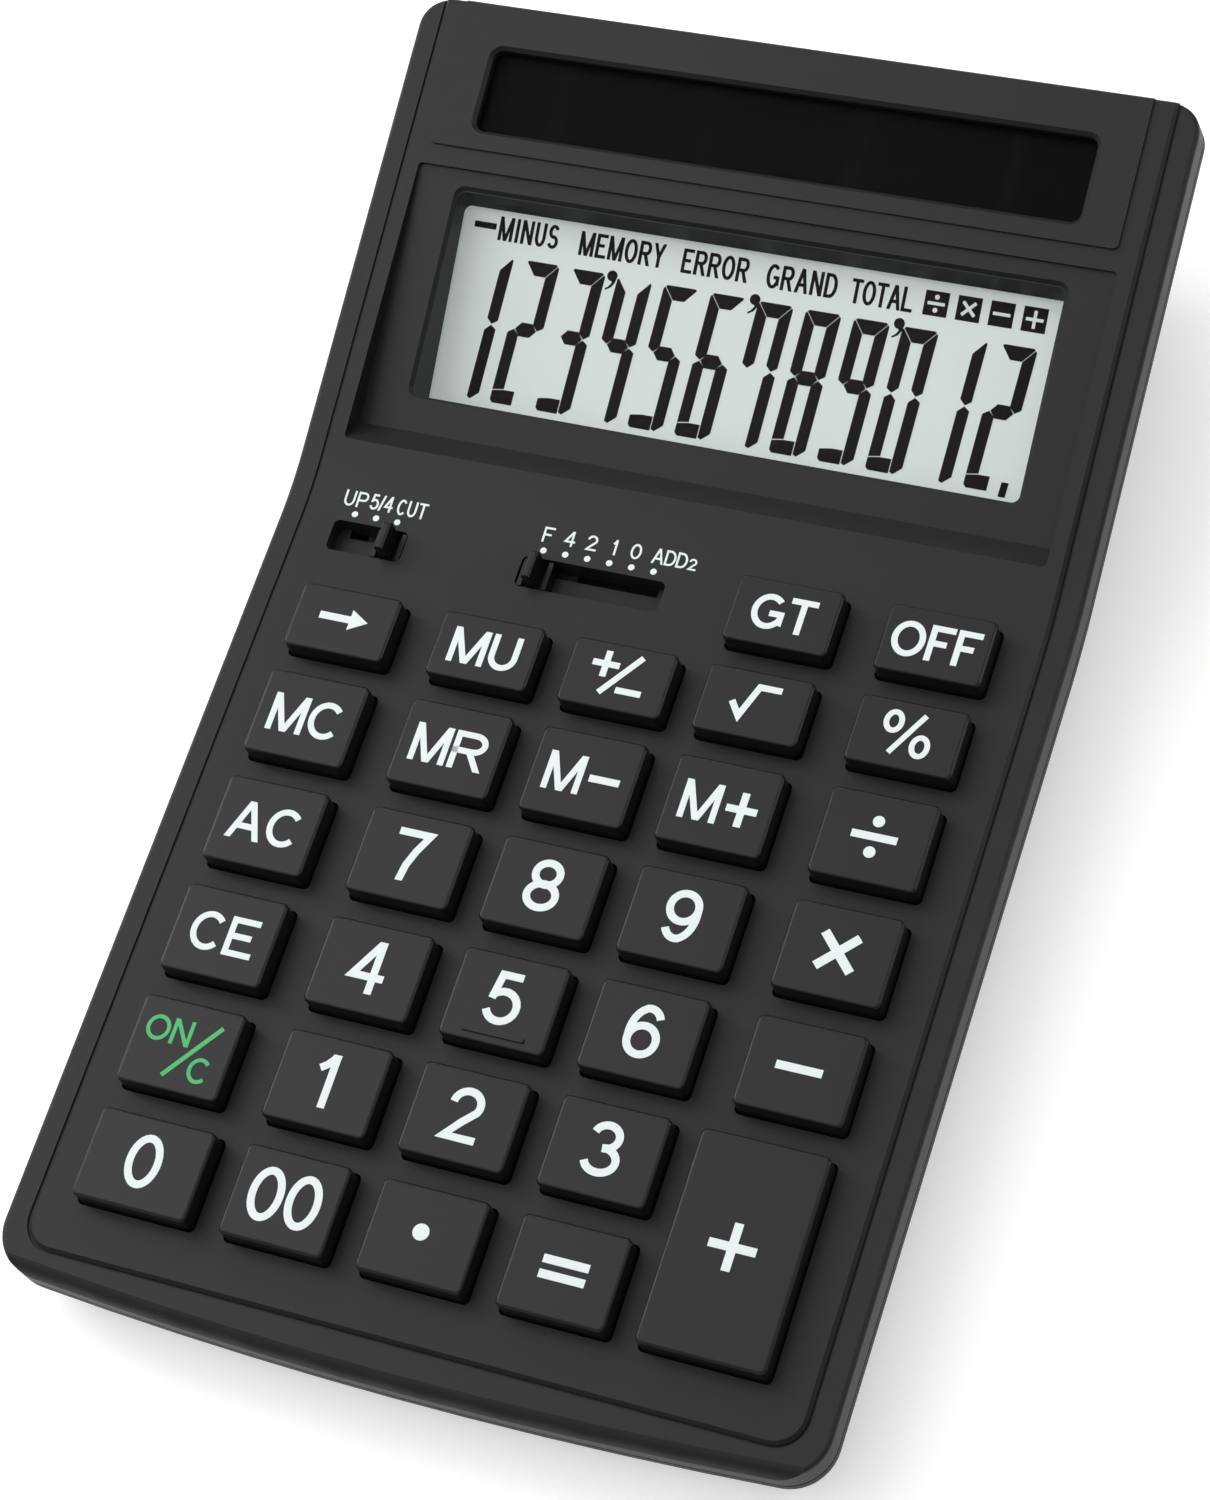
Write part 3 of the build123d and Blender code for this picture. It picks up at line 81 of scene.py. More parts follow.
DECK = placed(BEND_PLACE, DECK_TILT)
LCD = DECK @ placed((0, *WELL_FOOT), PANEL_TILT) @ Matrix.Translation((0, 0, PANEL_FACE))
print("Deck origin:", [round(value, 2) for value in DECK.translation])

# %% [markdown]
# Moulded plastic is never one flat colour. The tool it comes from is spark-eroded, so the skin has a fine
# grain that breaks up the gloss, and wide, faint clouds where the melt flowed. Both are the same effect on
# case, base, keys and knobs at other strengths, so they are one node group. It puts out a colour, a
# roughness and a height, and each material keeps its own shader.

# %% Shader group for moulded grain
CLOUD_SCALE, CLOUD_DETAIL, CLOUD_SHARE = 45.0, 4.0, 0.5
GRAIN_DETAIL = 2.0


def socket(tree, name, direction, kind, value=None):
    made = tree.interface.new_socket(name=name, in_out=direction, socket_type=kind)
    if value is not None:
        made.default_value = value


def node(tree, kind, **settings):
    made = tree.nodes.new(kind)
    for key, value in settings.items():
        setattr(made, key, value)
    return made


def wire(tree, start, end):
    tree.links.new(start, end)


def make_grain_group():
    tree = bpy.data.node_groups.new("moulded_grain", "ShaderNodeTree")
    socket(tree, "Vector", "INPUT", "NodeSocketVector")
    socket(tree, "Light Tone", "INPUT", "NodeSocketColor", (0.06, 0.06, 0.06, 1))
    socket(tree, "Dark Tone", "INPUT", "NodeSocketColor", (0.04, 0.04, 0.04, 1))
    socket(tree, "Grain Scale", "INPUT", "NodeSocketFloat", 4000.0)
    socket(tree, "Rough Low", "INPUT", "NodeSocketFloat", 0.4)
    socket(tree, "Rough High", "INPUT", "NodeSocketFloat", 0.55)
    socket(tree, "Color", "OUTPUT", "NodeSocketColor")
    socket(tree, "Roughness", "OUTPUT", "NodeSocketFloat")
    socket(tree, "Height", "OUTPUT", "NodeSocketFloat")
    given = node(tree, "NodeGroupInput")
    out = node(tree, "NodeGroupOutput")
    clouds = node(tree, "ShaderNodeTexNoise")
    clouds.inputs["Scale"].default_value = CLOUD_SCALE
    clouds.inputs["Detail"].default_value = CLOUD_DETAIL
    grain = node(tree, "ShaderNodeTexNoise")
    grain.inputs["Detail"].default_value = GRAIN_DETAIL
    tone = node(tree, "ShaderNodeMix", data_type="RGBA")
    part = node(tree, "ShaderNodeMath", operation="MULTIPLY")
    part.inputs[1].default_value = CLOUD_SHARE
    blend = node(tree, "ShaderNodeMath", operation="MULTIPLY_ADD")
    blend.inputs[1].default_value = 1 - CLOUD_SHARE
    rough = node(tree, "ShaderNodeMapRange")
    for texture in (clouds, grain):
        wire(tree, given.outputs["Vector"], texture.inputs["Vector"])
    wire(tree, given.outputs["Grain Scale"], grain.inputs["Scale"])
    wire(tree, clouds.outputs["Fac"], part.inputs[0])
    wire(tree, grain.outputs["Fac"], blend.inputs[0])
    wire(tree, part.outputs[0], blend.inputs[2])
    wire(tree, blend.outputs[0], tone.inputs["Factor"])
    wire(tree, given.outputs["Dark Tone"], tone.inputs["A"])
    wire(tree, given.outputs["Light Tone"], tone.inputs["B"])
    wire(tree, grain.outputs["Fac"], rough.inputs["Value"])
    wire(tree, given.outputs["Rough Low"], rough.inputs["To Min"])
    wire(tree, given.outputs["Rough High"], rough.inputs["To Max"])
    wire(tree, tone.outputs["Result"], out.inputs["Color"])
    wire(tree, rough.outputs["Result"], out.inputs["Roughness"])
    wire(tree, grain.outputs["Fac"], out.inputs["Height"])
    return tree


GRAIN = make_grain_group()
print("Shader group:", GRAIN.name, "with", len(GRAIN.nodes), "nodes")

# %% [markdown]
# A finish is then a few lines: a Principled shader, the grain group on Object coordinates, and a Bump node
# for the height. Numbers that are the same all over, such as the specular level, are set straight on the
# shader's own sockets.

# %% A finish from the grain group
GRAIN_DEPTH = 0.02


def new_material(name):
    made = bpy.data.materials.new(name)
    made.use_nodes = True
    tree = made.node_tree
    shader = tree.nodes["Principled BSDF"]
    coords = node(tree, "ShaderNodeTexCoord")
    return made, tree, shader, coords.outputs["Object"]


def moulded(name, light, dark, grain, rough, bump, specular=0.5):
    made, tree, shader, coords = new_material(name)
    group = node(tree, "ShaderNodeGroup", node_tree=GRAIN)
    wire(tree, coords, group.inputs["Vector"])
    group.inputs["Light Tone"].default_value = (*light, 1)
    group.inputs["Dark Tone"].default_value = (*dark, 1)
    group.inputs["Grain Scale"].default_value = grain
    group.inputs["Rough Low"].default_value = rough[0]
    group.inputs["Rough High"].default_value = rough[1]
    wire(tree, group.outputs["Color"], shader.inputs["Base Color"])
    wire(tree, group.outputs["Roughness"], shader.inputs["Roughness"])
    relief = node(tree, "ShaderNodeBump")
    relief.inputs["Strength"].default_value = bump
    relief.inputs["Distance"].default_value = GRAIN_DEPTH * MM
    wire(tree, group.outputs["Height"], relief.inputs["Height"])
    wire(tree, relief.outputs["Normal"], shader.inputs["Normal"])
    shader.inputs["Specular IOR Level"].default_value = specular
    return made


CASE_LIGHT, CASE_DARK = (0.0175, 0.0175, 0.0185), (0.012, 0.012, 0.013)
MOULDINGS = {
    "case_plastic": dict(light=CASE_LIGHT, dark=CASE_DARK, grain=3200, rough=(0.40, 0.54), bump=0.4,
                         specular=0.25),
    "base_plastic": dict(light=CASE_LIGHT, dark=CASE_DARK, grain=2600, rough=(0.46, 0.6), bump=0.5,
                         specular=0.25),
    "key_plastic": dict(light=(0.0098, 0.0098, 0.0108), dark=(0.0066, 0.0066, 0.0076), grain=4200,
                        rough=(0.30, 0.42), bump=0.25, specular=0.3),
    "knob_plastic": dict(light=(0.008, 0.008, 0.009), dark=(0.005, 0.005, 0.006), grain=4200,
                         rough=(0.32, 0.45), bump=0.3, specular=0.3),
    "foot_rubber": dict(light=(0.022, 0.022, 0.022), dark=(0.012, 0.012, 0.012), grain=1500,
                        rough=(0.7, 0.9), bump=0.8, specular=0.3),
    "mat_rubber": dict(light=(0.52, 0.52, 0.50), dark=(0.44, 0.44, 0.42), grain=1800, rough=(0.6, 0.8),
                       bump=0.4, specular=0.3),
    "holder_plastic": dict(light=(0.72, 0.72, 0.70), dark=(0.62, 0.62, 0.60), grain=2000, rough=(0.45, 0.6),
                           bump=0.3),
    "wire_skin": dict(light=(0.50, 0.03, 0.02), dark=(0.38, 0.02, 0.015), grain=2000, rough=(0.3, 0.42),
                      bump=0.2),
    "chip_resin": dict(light=(0.014, 0.014, 0.014), dark=(0.008, 0.008, 0.008), grain=900, rough=(0.15, 0.3),
                       bump=0.2),
    "ribbon_film": dict(light=(0.50, 0.27, 0.07), dark=(0.38, 0.20, 0.05), grain=1200, rough=(0.2, 0.3),
                        bump=0.1),
}
FINISHES = {name: moulded(name, **values) for name, values in MOULDINGS.items()}
print("Moulded finishes:", len(FINISHES))

# %% [markdown]
# The inner metal is plated steel and sprung brass sheet. Rolled metal has fine lines along one way, which
# a noise stretched by a Mapping node gives without any image.

# %% Rolled metal
ROLLED_STRETCH = (1.0, 12.0, 1.0)
ROLLED_SCALE = 900.0


def rolled_metal(name, light, dark, rough):
    made, tree, shader, coords = new_material(name)
    stretch = node(tree, "ShaderNodeMapping")
    stretch.inputs["Scale"].default_value = ROLLED_STRETCH
    lines = node(tree, "ShaderNodeTexNoise")
    lines.inputs["Scale"].default_value = ROLLED_SCALE
    tone = node(tree, "ShaderNodeMix", data_type="RGBA")
    tone.inputs["A"].default_value = (*dark, 1)
    tone.inputs["B"].default_value = (*light, 1)
    gloss = node(tree, "ShaderNodeMapRange")
    gloss.inputs["To Min"].default_value = rough[0]
    gloss.inputs["To Max"].default_value = rough[1]
    wire(tree, coords, stretch.inputs["Vector"])
    wire(tree, stretch.outputs["Vector"], lines.inputs["Vector"])
    wire(tree, lines.outputs["Fac"], tone.inputs["Factor"])
    wire(tree, lines.outputs["Fac"], gloss.inputs["Value"])
    wire(tree, tone.outputs["Result"], shader.inputs["Base Color"])
    wire(tree, gloss.outputs["Result"], shader.inputs["Roughness"])
    shader.inputs["Metallic"].default_value = 1.0
    return made


FINISHES["plated_steel"] = rolled_metal("plated_steel", (0.66, 0.66, 0.66), (0.5, 0.5, 0.5), (0.25, 0.4))
FINISHES["contact_brass"] = rolled_metal("contact_brass", (0.75, 0.58, 0.26), (0.6, 0.44, 0.18), (0.22, 0.36))
print("Finishes with the metals:", len(FINISHES))

# %% [markdown]
# The circuit board shows a little through the slits of the switches. Its black lacquer lies over copper
# tracks, so a brick pattern turned into thin lines stands in for the tracks.

# %% Lacquered board
def lacquered_board():
    made, tree, shader, coords = new_material("board_lacquer")
    tracks = node(tree, "ShaderNodeTexBrick")
    tracks.inputs["Scale"].default_value = 130.0
    tracks.inputs["Mortar Size"].default_value = 0.04
    tracks.inputs["Color1"].default_value = (0.010, 0.012, 0.011, 1)
    tracks.inputs["Color2"].default_value = (0.012, 0.014, 0.013, 1)
    tracks.inputs["Mortar"].default_value = (0.022, 0.024, 0.022, 1)
    wire(tree, coords, tracks.inputs["Vector"])
    wire(tree, tracks.outputs["Color"], shader.inputs["Base Color"])
    relief = node(tree, "ShaderNodeBump")
    relief.inputs["Strength"].default_value = 0.3
    relief.inputs["Distance"].default_value = 0.03 * MM
    wire(tree, tracks.outputs["Fac"], relief.inputs["Height"])
    wire(tree, relief.outputs["Normal"], shader.inputs["Normal"])
    shader.inputs["Roughness"].default_value = 0.35
    return made


FINISHES["board_lacquer"] = lacquered_board()
print("Board finish:", FINISHES["board_lacquer"].name)

# %% [markdown]
# The display is a grey-green liquid crystal panel with a faint cloudiness. It also has a faint glow, which is
# painted light: it brightens the panel where its deep well holds back the lamps' light. The solar cell is a
# nearly black plate whose strips are divided by lines that only show as a slightly different black. Both lie
# under clear plates. A clear plate is a Principled shader with a low alpha, so that light reaches what is
# below.

# %% Panel, cell and clear plate
def glowing_display_panel():
    made, tree, shader, coords = new_material("glowing_display_panel")
    clouds = node(tree, "ShaderNodeTexNoise")
    clouds.inputs["Scale"].default_value = 60.0
    tone = node(tree, "ShaderNodeMix", data_type="RGBA")
    tone.inputs["A"].default_value = (0.51, 0.56, 0.54, 1)
    tone.inputs["B"].default_value = (0.55, 0.60, 0.58, 1)
    wire(tree, coords, clouds.inputs["Vector"])
    wire(tree, clouds.outputs["Fac"], tone.inputs["Factor"])
    wire(tree, tone.outputs["Result"], shader.inputs["Base Color"])
    shader.inputs["Roughness"].default_value = 0.55
    shader.inputs["Specular IOR Level"].default_value = 0.2
    # Painted light: a faint glow brightens the panel in place of the lamps' light that its well holds back.
    shader.inputs["Emission Color"].default_value = (0.86, 0.93, 0.90, 1)
    shader.inputs["Emission Strength"].default_value = 0.28
    return made


def cell_plate():
    made, tree, shader, coords = new_material("cell_plate")
    strips = node(tree, "ShaderNodeTexWave", wave_type="BANDS", bands_direction="X")
    strips.inputs["Scale"].default_value = 15.2
    edge = node(tree, "ShaderNodeMapRange")
    edge.inputs["From Min"].default_value = 0.96
    edge.inputs["From Max"].default_value = 1.0
    tone = node(tree, "ShaderNodeMix", data_type="RGBA")
    tone.inputs["A"].default_value = (0.0032, 0.0032, 0.0034, 1)
    tone.inputs["B"].default_value = (0.0055, 0.0052, 0.005, 1)
    wire(tree, coords, strips.inputs["Vector"])
    wire(tree, strips.outputs["Fac"], edge.inputs["Value"])
    wire(tree, edge.outputs["Result"], tone.inputs["Factor"])
    wire(tree, tone.outputs["Result"], shader.inputs["Base Color"])
    shader.inputs["Roughness"].default_value = 0.3
    shader.inputs["Specular IOR Level"].default_value = 0.015
    return made


def clear_plate():
    made, tree, shader, coords = new_material("clear_plate")
    smear = node(tree, "ShaderNodeTexNoise")
    smear.inputs["Scale"].default_value = 80.0
    gloss = node(tree, "ShaderNodeMapRange")
    gloss.inputs["To Min"].default_value = 0.04
    gloss.inputs["To Max"].default_value = 0.09
    wire(tree, coords, smear.inputs["Vector"])
    wire(tree, smear.outputs["Fac"], gloss.inputs["Value"])
    wire(tree, gloss.outputs["Result"], shader.inputs["Roughness"])
    shader.inputs["Base Color"].default_value = (0.05, 0.055, 0.053, 1)
    shader.inputs["Alpha"].default_value = 0.02
    return made


FINISHES["glowing_display_panel"] = glowing_display_panel()
FINISHES["cell_plate"] = cell_plate()
FINISHES["clear_plate"] = clear_plate()
print("Finishes so far:", len(FINISHES))

# %% [markdown]
# Every CAD node now takes one finish. A table by name keeps the choice in one place, and the keys share a
# rule because they are all moulded from the same plastic.

# %% Dress the CAD nodes
DRESS = {
    "upper_case": "case_plastic", "lower_case": "base_plastic", "battery_door": "base_plastic",
    "display_window": "clear_plate", "solar_window": "clear_plate", "lcd_panel": "glowing_display_panel",
    "solar_cell": "cell_plate", "lcd_holder": "holder_plastic", "lcd_ribbon": "ribbon_film",
    "solar_leads": "wire_skin", "battery_leads": "wire_skin", "main_board": "board_lacquer",
    "controller_chip": "chip_resin", "dome_mat": "mat_rubber", "rubber_feet": "foot_rubber",
    "rounding_slider": "knob_plastic", "decimal_slider": "knob_plastic",
    "rounding_wiper": "contact_brass", "decimal_wiper": "contact_brass",
    "positive_contact": "contact_brass", "negative_contact": "contact_brass",
    "button_cell": "plated_steel", "case_screws": "plated_steel", "inner_screws": "plated_steel",
    "door_screw": "plated_steel",
}
for name, piece in nodes.items():
    finish = "key_plastic" if name.startswith("key_") else DRESS[name]
    piece.data.materials.clear()
    piece.data.materials.append(FINISHES[finish])
print("Dressed nodes:", len(nodes))

# %% [markdown]
# The legends are pad-printed in thin paint. They could be text objects, but the letters of the real keys
# are plain strokes of one width, so each sign is drawn as centre lines and widened into a raised ribbon.
# Curves are written as arcs in a unit square, which the size of the sign then stretches.

# %% Strokes of the signs
def arc(x, y, wide, high, start, end, steps=18):
    turns = [radians(start + (end - start) * step / steps) for step in range(steps + 1)]
    return [(x + wide * cos(turn), y + high * sin(turn)) for turn in turns]


def ring(x, y, wide, high):
    return arc(x, y, wide, high, 90, 450, 36)


SIGNS = {
    "0": [ring(0.5, 0.5, 0.5, 0.5)],
    "1": [[(0.0, 0.74), (0.45, 0.84), (0.8, 0.97), (1.0, 1.0)], [(1.0, 0.0), (1.0, 1.0)]],
    "2": [arc(0.49, 0.72, 0.47, 0.28, 178, -28) + [(0.5, 0.34), (0.03, 0.0), (1.0, 0.0)]],
    "3": [arc(0.46, 0.755, 0.43, 0.245, 165, -80) + [(0.42, 0.51)],
          [(0.42, 0.51)] + arc(0.47, 0.265, 0.53, 0.265, 80, -165)],
    "4": [[(0.75, 0.0), (0.75, 1.0)], [(0.75, 1.0), (0.0, 0.29), (1.0, 0.29)]],
    "5": [[(0.92, 1.0), (0.2, 1.0), (0.07, 0.46)], arc(0.48, 0.325, 0.52, 0.325, 148, -160)],
    "6": [arc(0.53, 0.66, 0.45, 0.34, 25, 105) + arc(0.56, 0.47, 0.55, 0.53, 115, 180, 8) + [(0.02, 0.32)],
          ring(0.51, 0.31, 0.49, 0.31)],
    "7": [[(0.0, 1.0), (1.0, 1.0), (0.68, 0.62), (0.48, 0.28), (0.4, 0.0)]],
    "8": [ring(0.5, 0.755, 0.43, 0.245), ring(0.5, 0.265, 0.5, 0.265)],
    "9": [arc(0.47, 0.34, 0.45, 0.34, 205, 285) + arc(0.44, 0.53, 0.55, 0.53, 295, 360, 8) + [(0.98, 0.68)],
          ring(0.49, 0.69, 0.49, 0.31)],
    "A": [[(0.0, 0.0), (0.5, 1.0)], [(1.0, 0.0), (0.5, 1.0)], [(0.17, 0.31), (0.83, 0.31)]],
    "C": [arc(0.52, 0.5, 0.52, 0.5, 42, 318, 30)],
    "D": [[(0.0, 0.5), (0.0, 1.0)] + arc(0.42, 0.5, 0.58, 0.5, 90, -90, 24) + [(0.0, 0.0), (0.0, 0.5)]],
    "E": [[(1.0, 1.0), (0.0, 1.0), (0.0, 0.0), (1.0, 0.0)], [(0.0, 0.52), (0.92, 0.52)]],
    "F": [[(1.0, 1.0), (0.0, 1.0), (0.0, 0.0)], [(0.0, 0.5), (0.86, 0.5)]],
    "G": [arc(0.52, 0.5, 0.52, 0.5, 45, 322, 30) + [(1.0, 0.18), (1.0, 0.45), (0.56, 0.45)]],
    "I": [[(0.5, 0.0), (0.5, 1.0)]],
    "L": [[(0.0, 1.0), (0.0, 0.0), (1.0, 0.0)]],
    "M": [[(0.0, 0.0), (0.0, 1.0)], [(0.0, 1.0), (0.5, 0.0)], [(1.0, 1.0), (0.5, 0.0)],
          [(1.0, 0.0), (1.0, 1.0)]],
    "N": [[(0.0, 0.0), (0.0, 1.0)], [(0.0, 1.0), (1.0, 0.0)], [(1.0, 0.0), (1.0, 1.0)]],
    "O": [ring(0.5, 0.5, 0.5, 0.5)],
    "P": [[(0.0, 0.0), (0.0, 1.0)] + arc(0.62, 0.73, 0.38, 0.27, 90, -90) + [(0.0, 0.46)]],
    "R": [[(0.0, 0.0), (0.0, 1.0)] + arc(0.62, 0.745, 0.38, 0.255, 90, -90) + [(0.0, 0.49)],
          [(0.52, 0.49), (1.0, 0.0)]],
    "S": [arc(0.5, 0.74, 0.46, 0.26, 25, 265) + arc(0.5, 0.25, 0.5, 0.25, 85, -160)],
    "T": [[(0.0, 1.0), (1.0, 1.0)], [(0.5, 1.0), (0.5, 0.0)]],
    "U": [[(0.0, 1.0)] + arc(0.5, 0.38, 0.5, 0.38, 180, 360, 24) + [(1.0, 1.0)]],
    "Y": [[(0.0, 1.0), (0.5, 0.42)], [(1.0, 1.0), (0.5, 0.42)], [(0.5, 0.5), (0.5, 0.0)]],
    "/": [[(0.0, 0.0), (1.0, 1.0)]],
}
print("Signs drawn as strokes:", len(SIGNS))

# %% [markdown]
# Widening a stroke is the work of a pen with a flat nib: at each point the ribbon's two edges stand half a
# width to either side, and at a corner they meet on the bisector. A leg that ends on the line of the letters
# is cut level with that line, as in type. The ribbon is closed below, so it is a real skin of paint. Strokes
# that cross lie a few microns above each other, so that no two faces fight.

# %% Edges of a stroke
MITRE_LIMIT = 2.2
SAME_PLACE, NO_LENGTH = 1e-4, 1e-6
STEEP, FLAT = 0.3, 0.1


def edges_of(path, width):
    """Left and right edge points of a stroke, meeting on the bisector at its corners."""
    points = [Vector(point) for point in path]
    closed = (points[0] - points[-1]).length < SAME_PLACE
    spans = [(end - start).normalized() for start, end in zip(points, points[1:])]
    left, right = [], []
    for index, point in enumerate(points):
        before = spans[index - 1] if index else (spans[-1] if closed else spans[0])
        after = spans[index] if index < len(spans) else (spans[0] if closed else spans[-1])
        across = Vector((-before.y - after.y, before.x + after.x))
        across = across.normalized() if across.length > NO_LENGTH else Vector((-before.y, before.x))
        square = across.dot(Vector((-before.y, before.x)))
        reach = width / 2 / max(square, 1 / MITRE_LIMIT)
        left.append(point + across * reach)
        right.append(point - across * reach)
    return left, right


def fitted(path, x, y, wide, high, pen):
    """A sign's path in its box, and which of its two ends are to be cut level."""
    drawn = [Vector((x + pen / 2 + u * (wide - pen), y + pen / 2 + v * (high - pen))) for u, v in path]
    level = [False, False]
    for side, (end, inner) in enumerate(((0, 1), (-1, -2))):
        u, v = path[end]
        away = drawn[end] - drawn[inner]
        if v in (0.0, 1.0) and abs(away.y) > STEEP * away.length:
            drawn[end].y = y + v * high
            level[side] = True
        elif u in (0.0, 1.0) and abs(away.y) < FLAT * away.length:
            drawn[end].x = x + u * wide
    return drawn, level


print("Corners reach at most", MITRE_LIMIT, "half widths")

# %% [markdown]
# One class gathers all paint of one legend. Its points stay in flat millimetres until the legend is carried
# onto its plane, so every drawing step below is plain arithmetic.

# %% Ribbons and pads of paint
PAINT = 0.03
LAYER, LAYERS = 0.004, 8
DOT_CORNERS = 24


class Print:
    """Collects ribbons and pads in millimetres and carries them onto a plane as one mesh."""

    def __init__(self):
        self.points, self.faces, self.layers = [], [], 0

    def next_top(self):
        """Height of the next stroke or pad, which differs from its neighbours by a thin layer."""
        top = PAINT + LAYER * (self.layers % LAYERS)
        self.layers += 1
        return top

    def prism(self, outline):
        """Closed slab of paint from an outline that runs anticlockwise."""
        base, count, top = len(self.points), len(outline), self.next_top()
        self.points += [(x, y, 0.0) for x, y in outline] + [(x, y, top) for x, y in outline]
        self.faces.append([base + count + index for index in range(count)])
        self.faces.append([base + index for index in reversed(range(count))])
        for index in range(count):
            after = (index + 1) % count
            self.faces.append([base + index, base + after, base + count + after, base + count + index])

    def stroke(self, path, width, level=(False, False)):
        """Closed ribbon of paint along a path, with its ends cut level where that is wanted."""
        left, right = edges_of(path, width)
        for end, inner, wanted in ((0, 1, level[0]), (-1, -2, level[1])):
            along = Vector(path[end]) - Vector(path[inner])
            for edge in (left, right) if wanted else ():
                edge[end] = edge[end] + along * ((path[end][1] - edge[end].y) / along.y)
        base, count, top = len(self.points), len(path), self.next_top()
        for height in (0.0, top):
            self.points += [(point.x, point.y, height) for pair in zip(left, right) for point in pair]
        up = 2 * count
        for step in range(count - 1):
            a, b, c, d = (base + 2 * step + offset for offset in (0, 1, 3, 2))
            self.faces += [[a + up, b + up, c + up, d + up], [d, c, b, a]]
            self.faces += [[b, c, c + up, b + up], [d, a, a + up, d + up]]
        first, last = base, base + up - 2
        self.faces += [[first, first + 1, first + 1 + up, first + up]]
        self.faces += [[last + 1, last, last + up, last + 1 + up]]

    def bar(self, x, y, wide, high):
        half_wide, half_high = wide / 2, high / 2
        self.prism([(x - half_wide, y - half_high), (x + half_wide, y - half_high),
                    (x + half_wide, y + half_high), (x - half_wide, y + half_high)])

    def dot(self, x, y, radius):
        self.prism(arc(x, y, radius, radius, 0, 360 - 360 / DOT_CORNERS, DOT_CORNERS - 1))

    def sign(self, letter, x, y, wide, high, pen):
        """One sign whose outer box starts at x and y."""
        for path in SIGNS[letter]:
            drawn, level = fitted(path, x, y, wide, high, pen)
            self.stroke(drawn, pen, level)

    def word(self, letters, x, y, high, pen, widths, gap):
        """Signs side by side from x; returns where the word ends."""
        for letter in letters:
            wide = widths[letter] if letter in widths else widths[""]
            self.sign(letter, x, y, wide, high, pen)
            x += wide + gap
        return x - gap

    def piece(self, name, plane, finish, body, lift=None):
        """The finished mesh, standing at the origin with its place in its points."""
        mesh = bpy.data.meshes.new(name)
        raised = [(x, y, z + (lift(y) if lift else 0.0)) for x, y, z in self.points]
        mesh.from_pydata([plane @ Vector(point) * MM for point in raised], [], self.faces)
        mesh.materials.append(finish)
        made = bpy.data.objects.new(name, mesh)
        scene.collection.objects.link(made)
        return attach(made, body)


print("Paint is", PAINT, "mm thick")

# %% [markdown]
# Paint is matt and a little uneven, white on nearly all keys and green on the key that switches on. The
# same small function makes both, and the dark ink of the display's segments.

# %% Paint and ink
SPECKLE_SCALE = 2500.0


def paint(name, light, dark, rough, specular=0.5):
    made, tree, shader, coords = new_material(name)
    speckle = node(tree, "ShaderNodeTexNoise")
    speckle.inputs["Scale"].default_value = SPECKLE_SCALE
    tone = node(tree, "ShaderNodeMix", data_type="RGBA")
    tone.inputs["A"].default_value = (*dark, 1)
    tone.inputs["B"].default_value = (*light, 1)
    wire(tree, coords, speckle.inputs["Vector"])
    wire(tree, speckle.outputs["Fac"], tone.inputs["Factor"])
    wire(tree, tone.outputs["Result"], shader.inputs["Base Color"])
    shader.inputs["Roughness"].default_value = rough
    shader.inputs["Specular IOR Level"].default_value = specular
    return made


WHITE_PAINT = paint("white_paint", (0.84, 0.90, 0.90), (0.76, 0.83, 0.83), 0.5)
GREEN_PAINT = paint("green_paint", (0.055, 0.50, 0.15), (0.045, 0.42, 0.12), 0.5)
SEGMENT_INK = paint("segment_ink", (0.014, 0.011, 0.011), (0.010, 0.008, 0.008), 0.6, 0.05)
print("Paints:", [made.name for made in (WHITE_PAINT, GREEN_PAINT, SEGMENT_INK)])

# %% [markdown]
# The keys come next. Figures are taller than letters, as on the real deck, and every legend is drawn around
# the middle of its key. The middles are read from the CAD nodes, so the printing follows the keys. Each
# legend rides on the body of its key and goes down with it.

# %% Figures and words on the keys
KEY_TOP = 3.2
FIGURE_HIGH, FIGURE_WIDE, FIGURE_PEN, FIGURE_LIFT = 6.9, 4.65, 0.97, 0.15
ONE_WIDE, ONE_LEFT = 2.7, -1.95
LETTER_HIGH, LETTER_PEN, LETTER_GAP = 5.2, 0.8, 0.45
SHORT_HIGH, CLOSE_GAP = 4.9, 0.35
LETTER_WIDE = {"M": 4.9, "C": 4.5, "A": 4.7, "R": 4.5, "E": 3.9, "F": 3.1, "O": 4.3, "G": 4.3, "T": 3.5,
               "U": 3.9}
SHORT_KEYS = ("markup", "grand_total", "off")


def key_middle(name):
    low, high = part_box("key_" + name)
    middle = DECK.inverted() @ ((low + high) / 2 / MM)
    return middle.x, middle.y


def key_plane(name):
    x, y = key_middle(name)
    return DECK @ Matrix.Translation((x, y, KEY_TOP))


def legend(name, printed, finish=WHITE_PAINT):
    printed.piece("legend_" + name, key_plane(name), finish, "press_" + name)


FIGURES = {"one": "1", "two": "2", "three": "3", "four": "4", "five": "5", "six": "6", "seven": "7",
           "eight": "8", "nine": "9", "zero": "0"}
for name, figure in FIGURES.items():
    printed = Print()
    wide, left = (ONE_WIDE, ONE_LEFT) if figure == "1" else (FIGURE_WIDE, -FIGURE_WIDE / 2)
    printed.sign(figure, left, FIGURE_LIFT - FIGURE_HIGH / 2, wide, FIGURE_HIGH, FIGURE_PEN)
    legend(name, printed)
WORDS = {"memory_clear": "MC", "memory_recall": "MR", "all_clear": "AC", "clear_entry": "CE",
         "markup": "MU", "grand_total": "GT", "off": "OFF"}
for name, word in WORDS.items():
    printed = Print()
    high = SHORT_HIGH if name in SHORT_KEYS else LETTER_HIGH
    gap = CLOSE_GAP if word == "OFF" else LETTER_GAP
    length = sum(LETTER_WIDE[letter] for letter in word) + gap * (len(word) - 1)
    printed.word(word, -length / 2, -high / 2, high, LETTER_PEN, LETTER_WIDE, gap)
    legend(name, printed)
print("Keys with figures and words:", len(FIGURES) + len(WORDS))

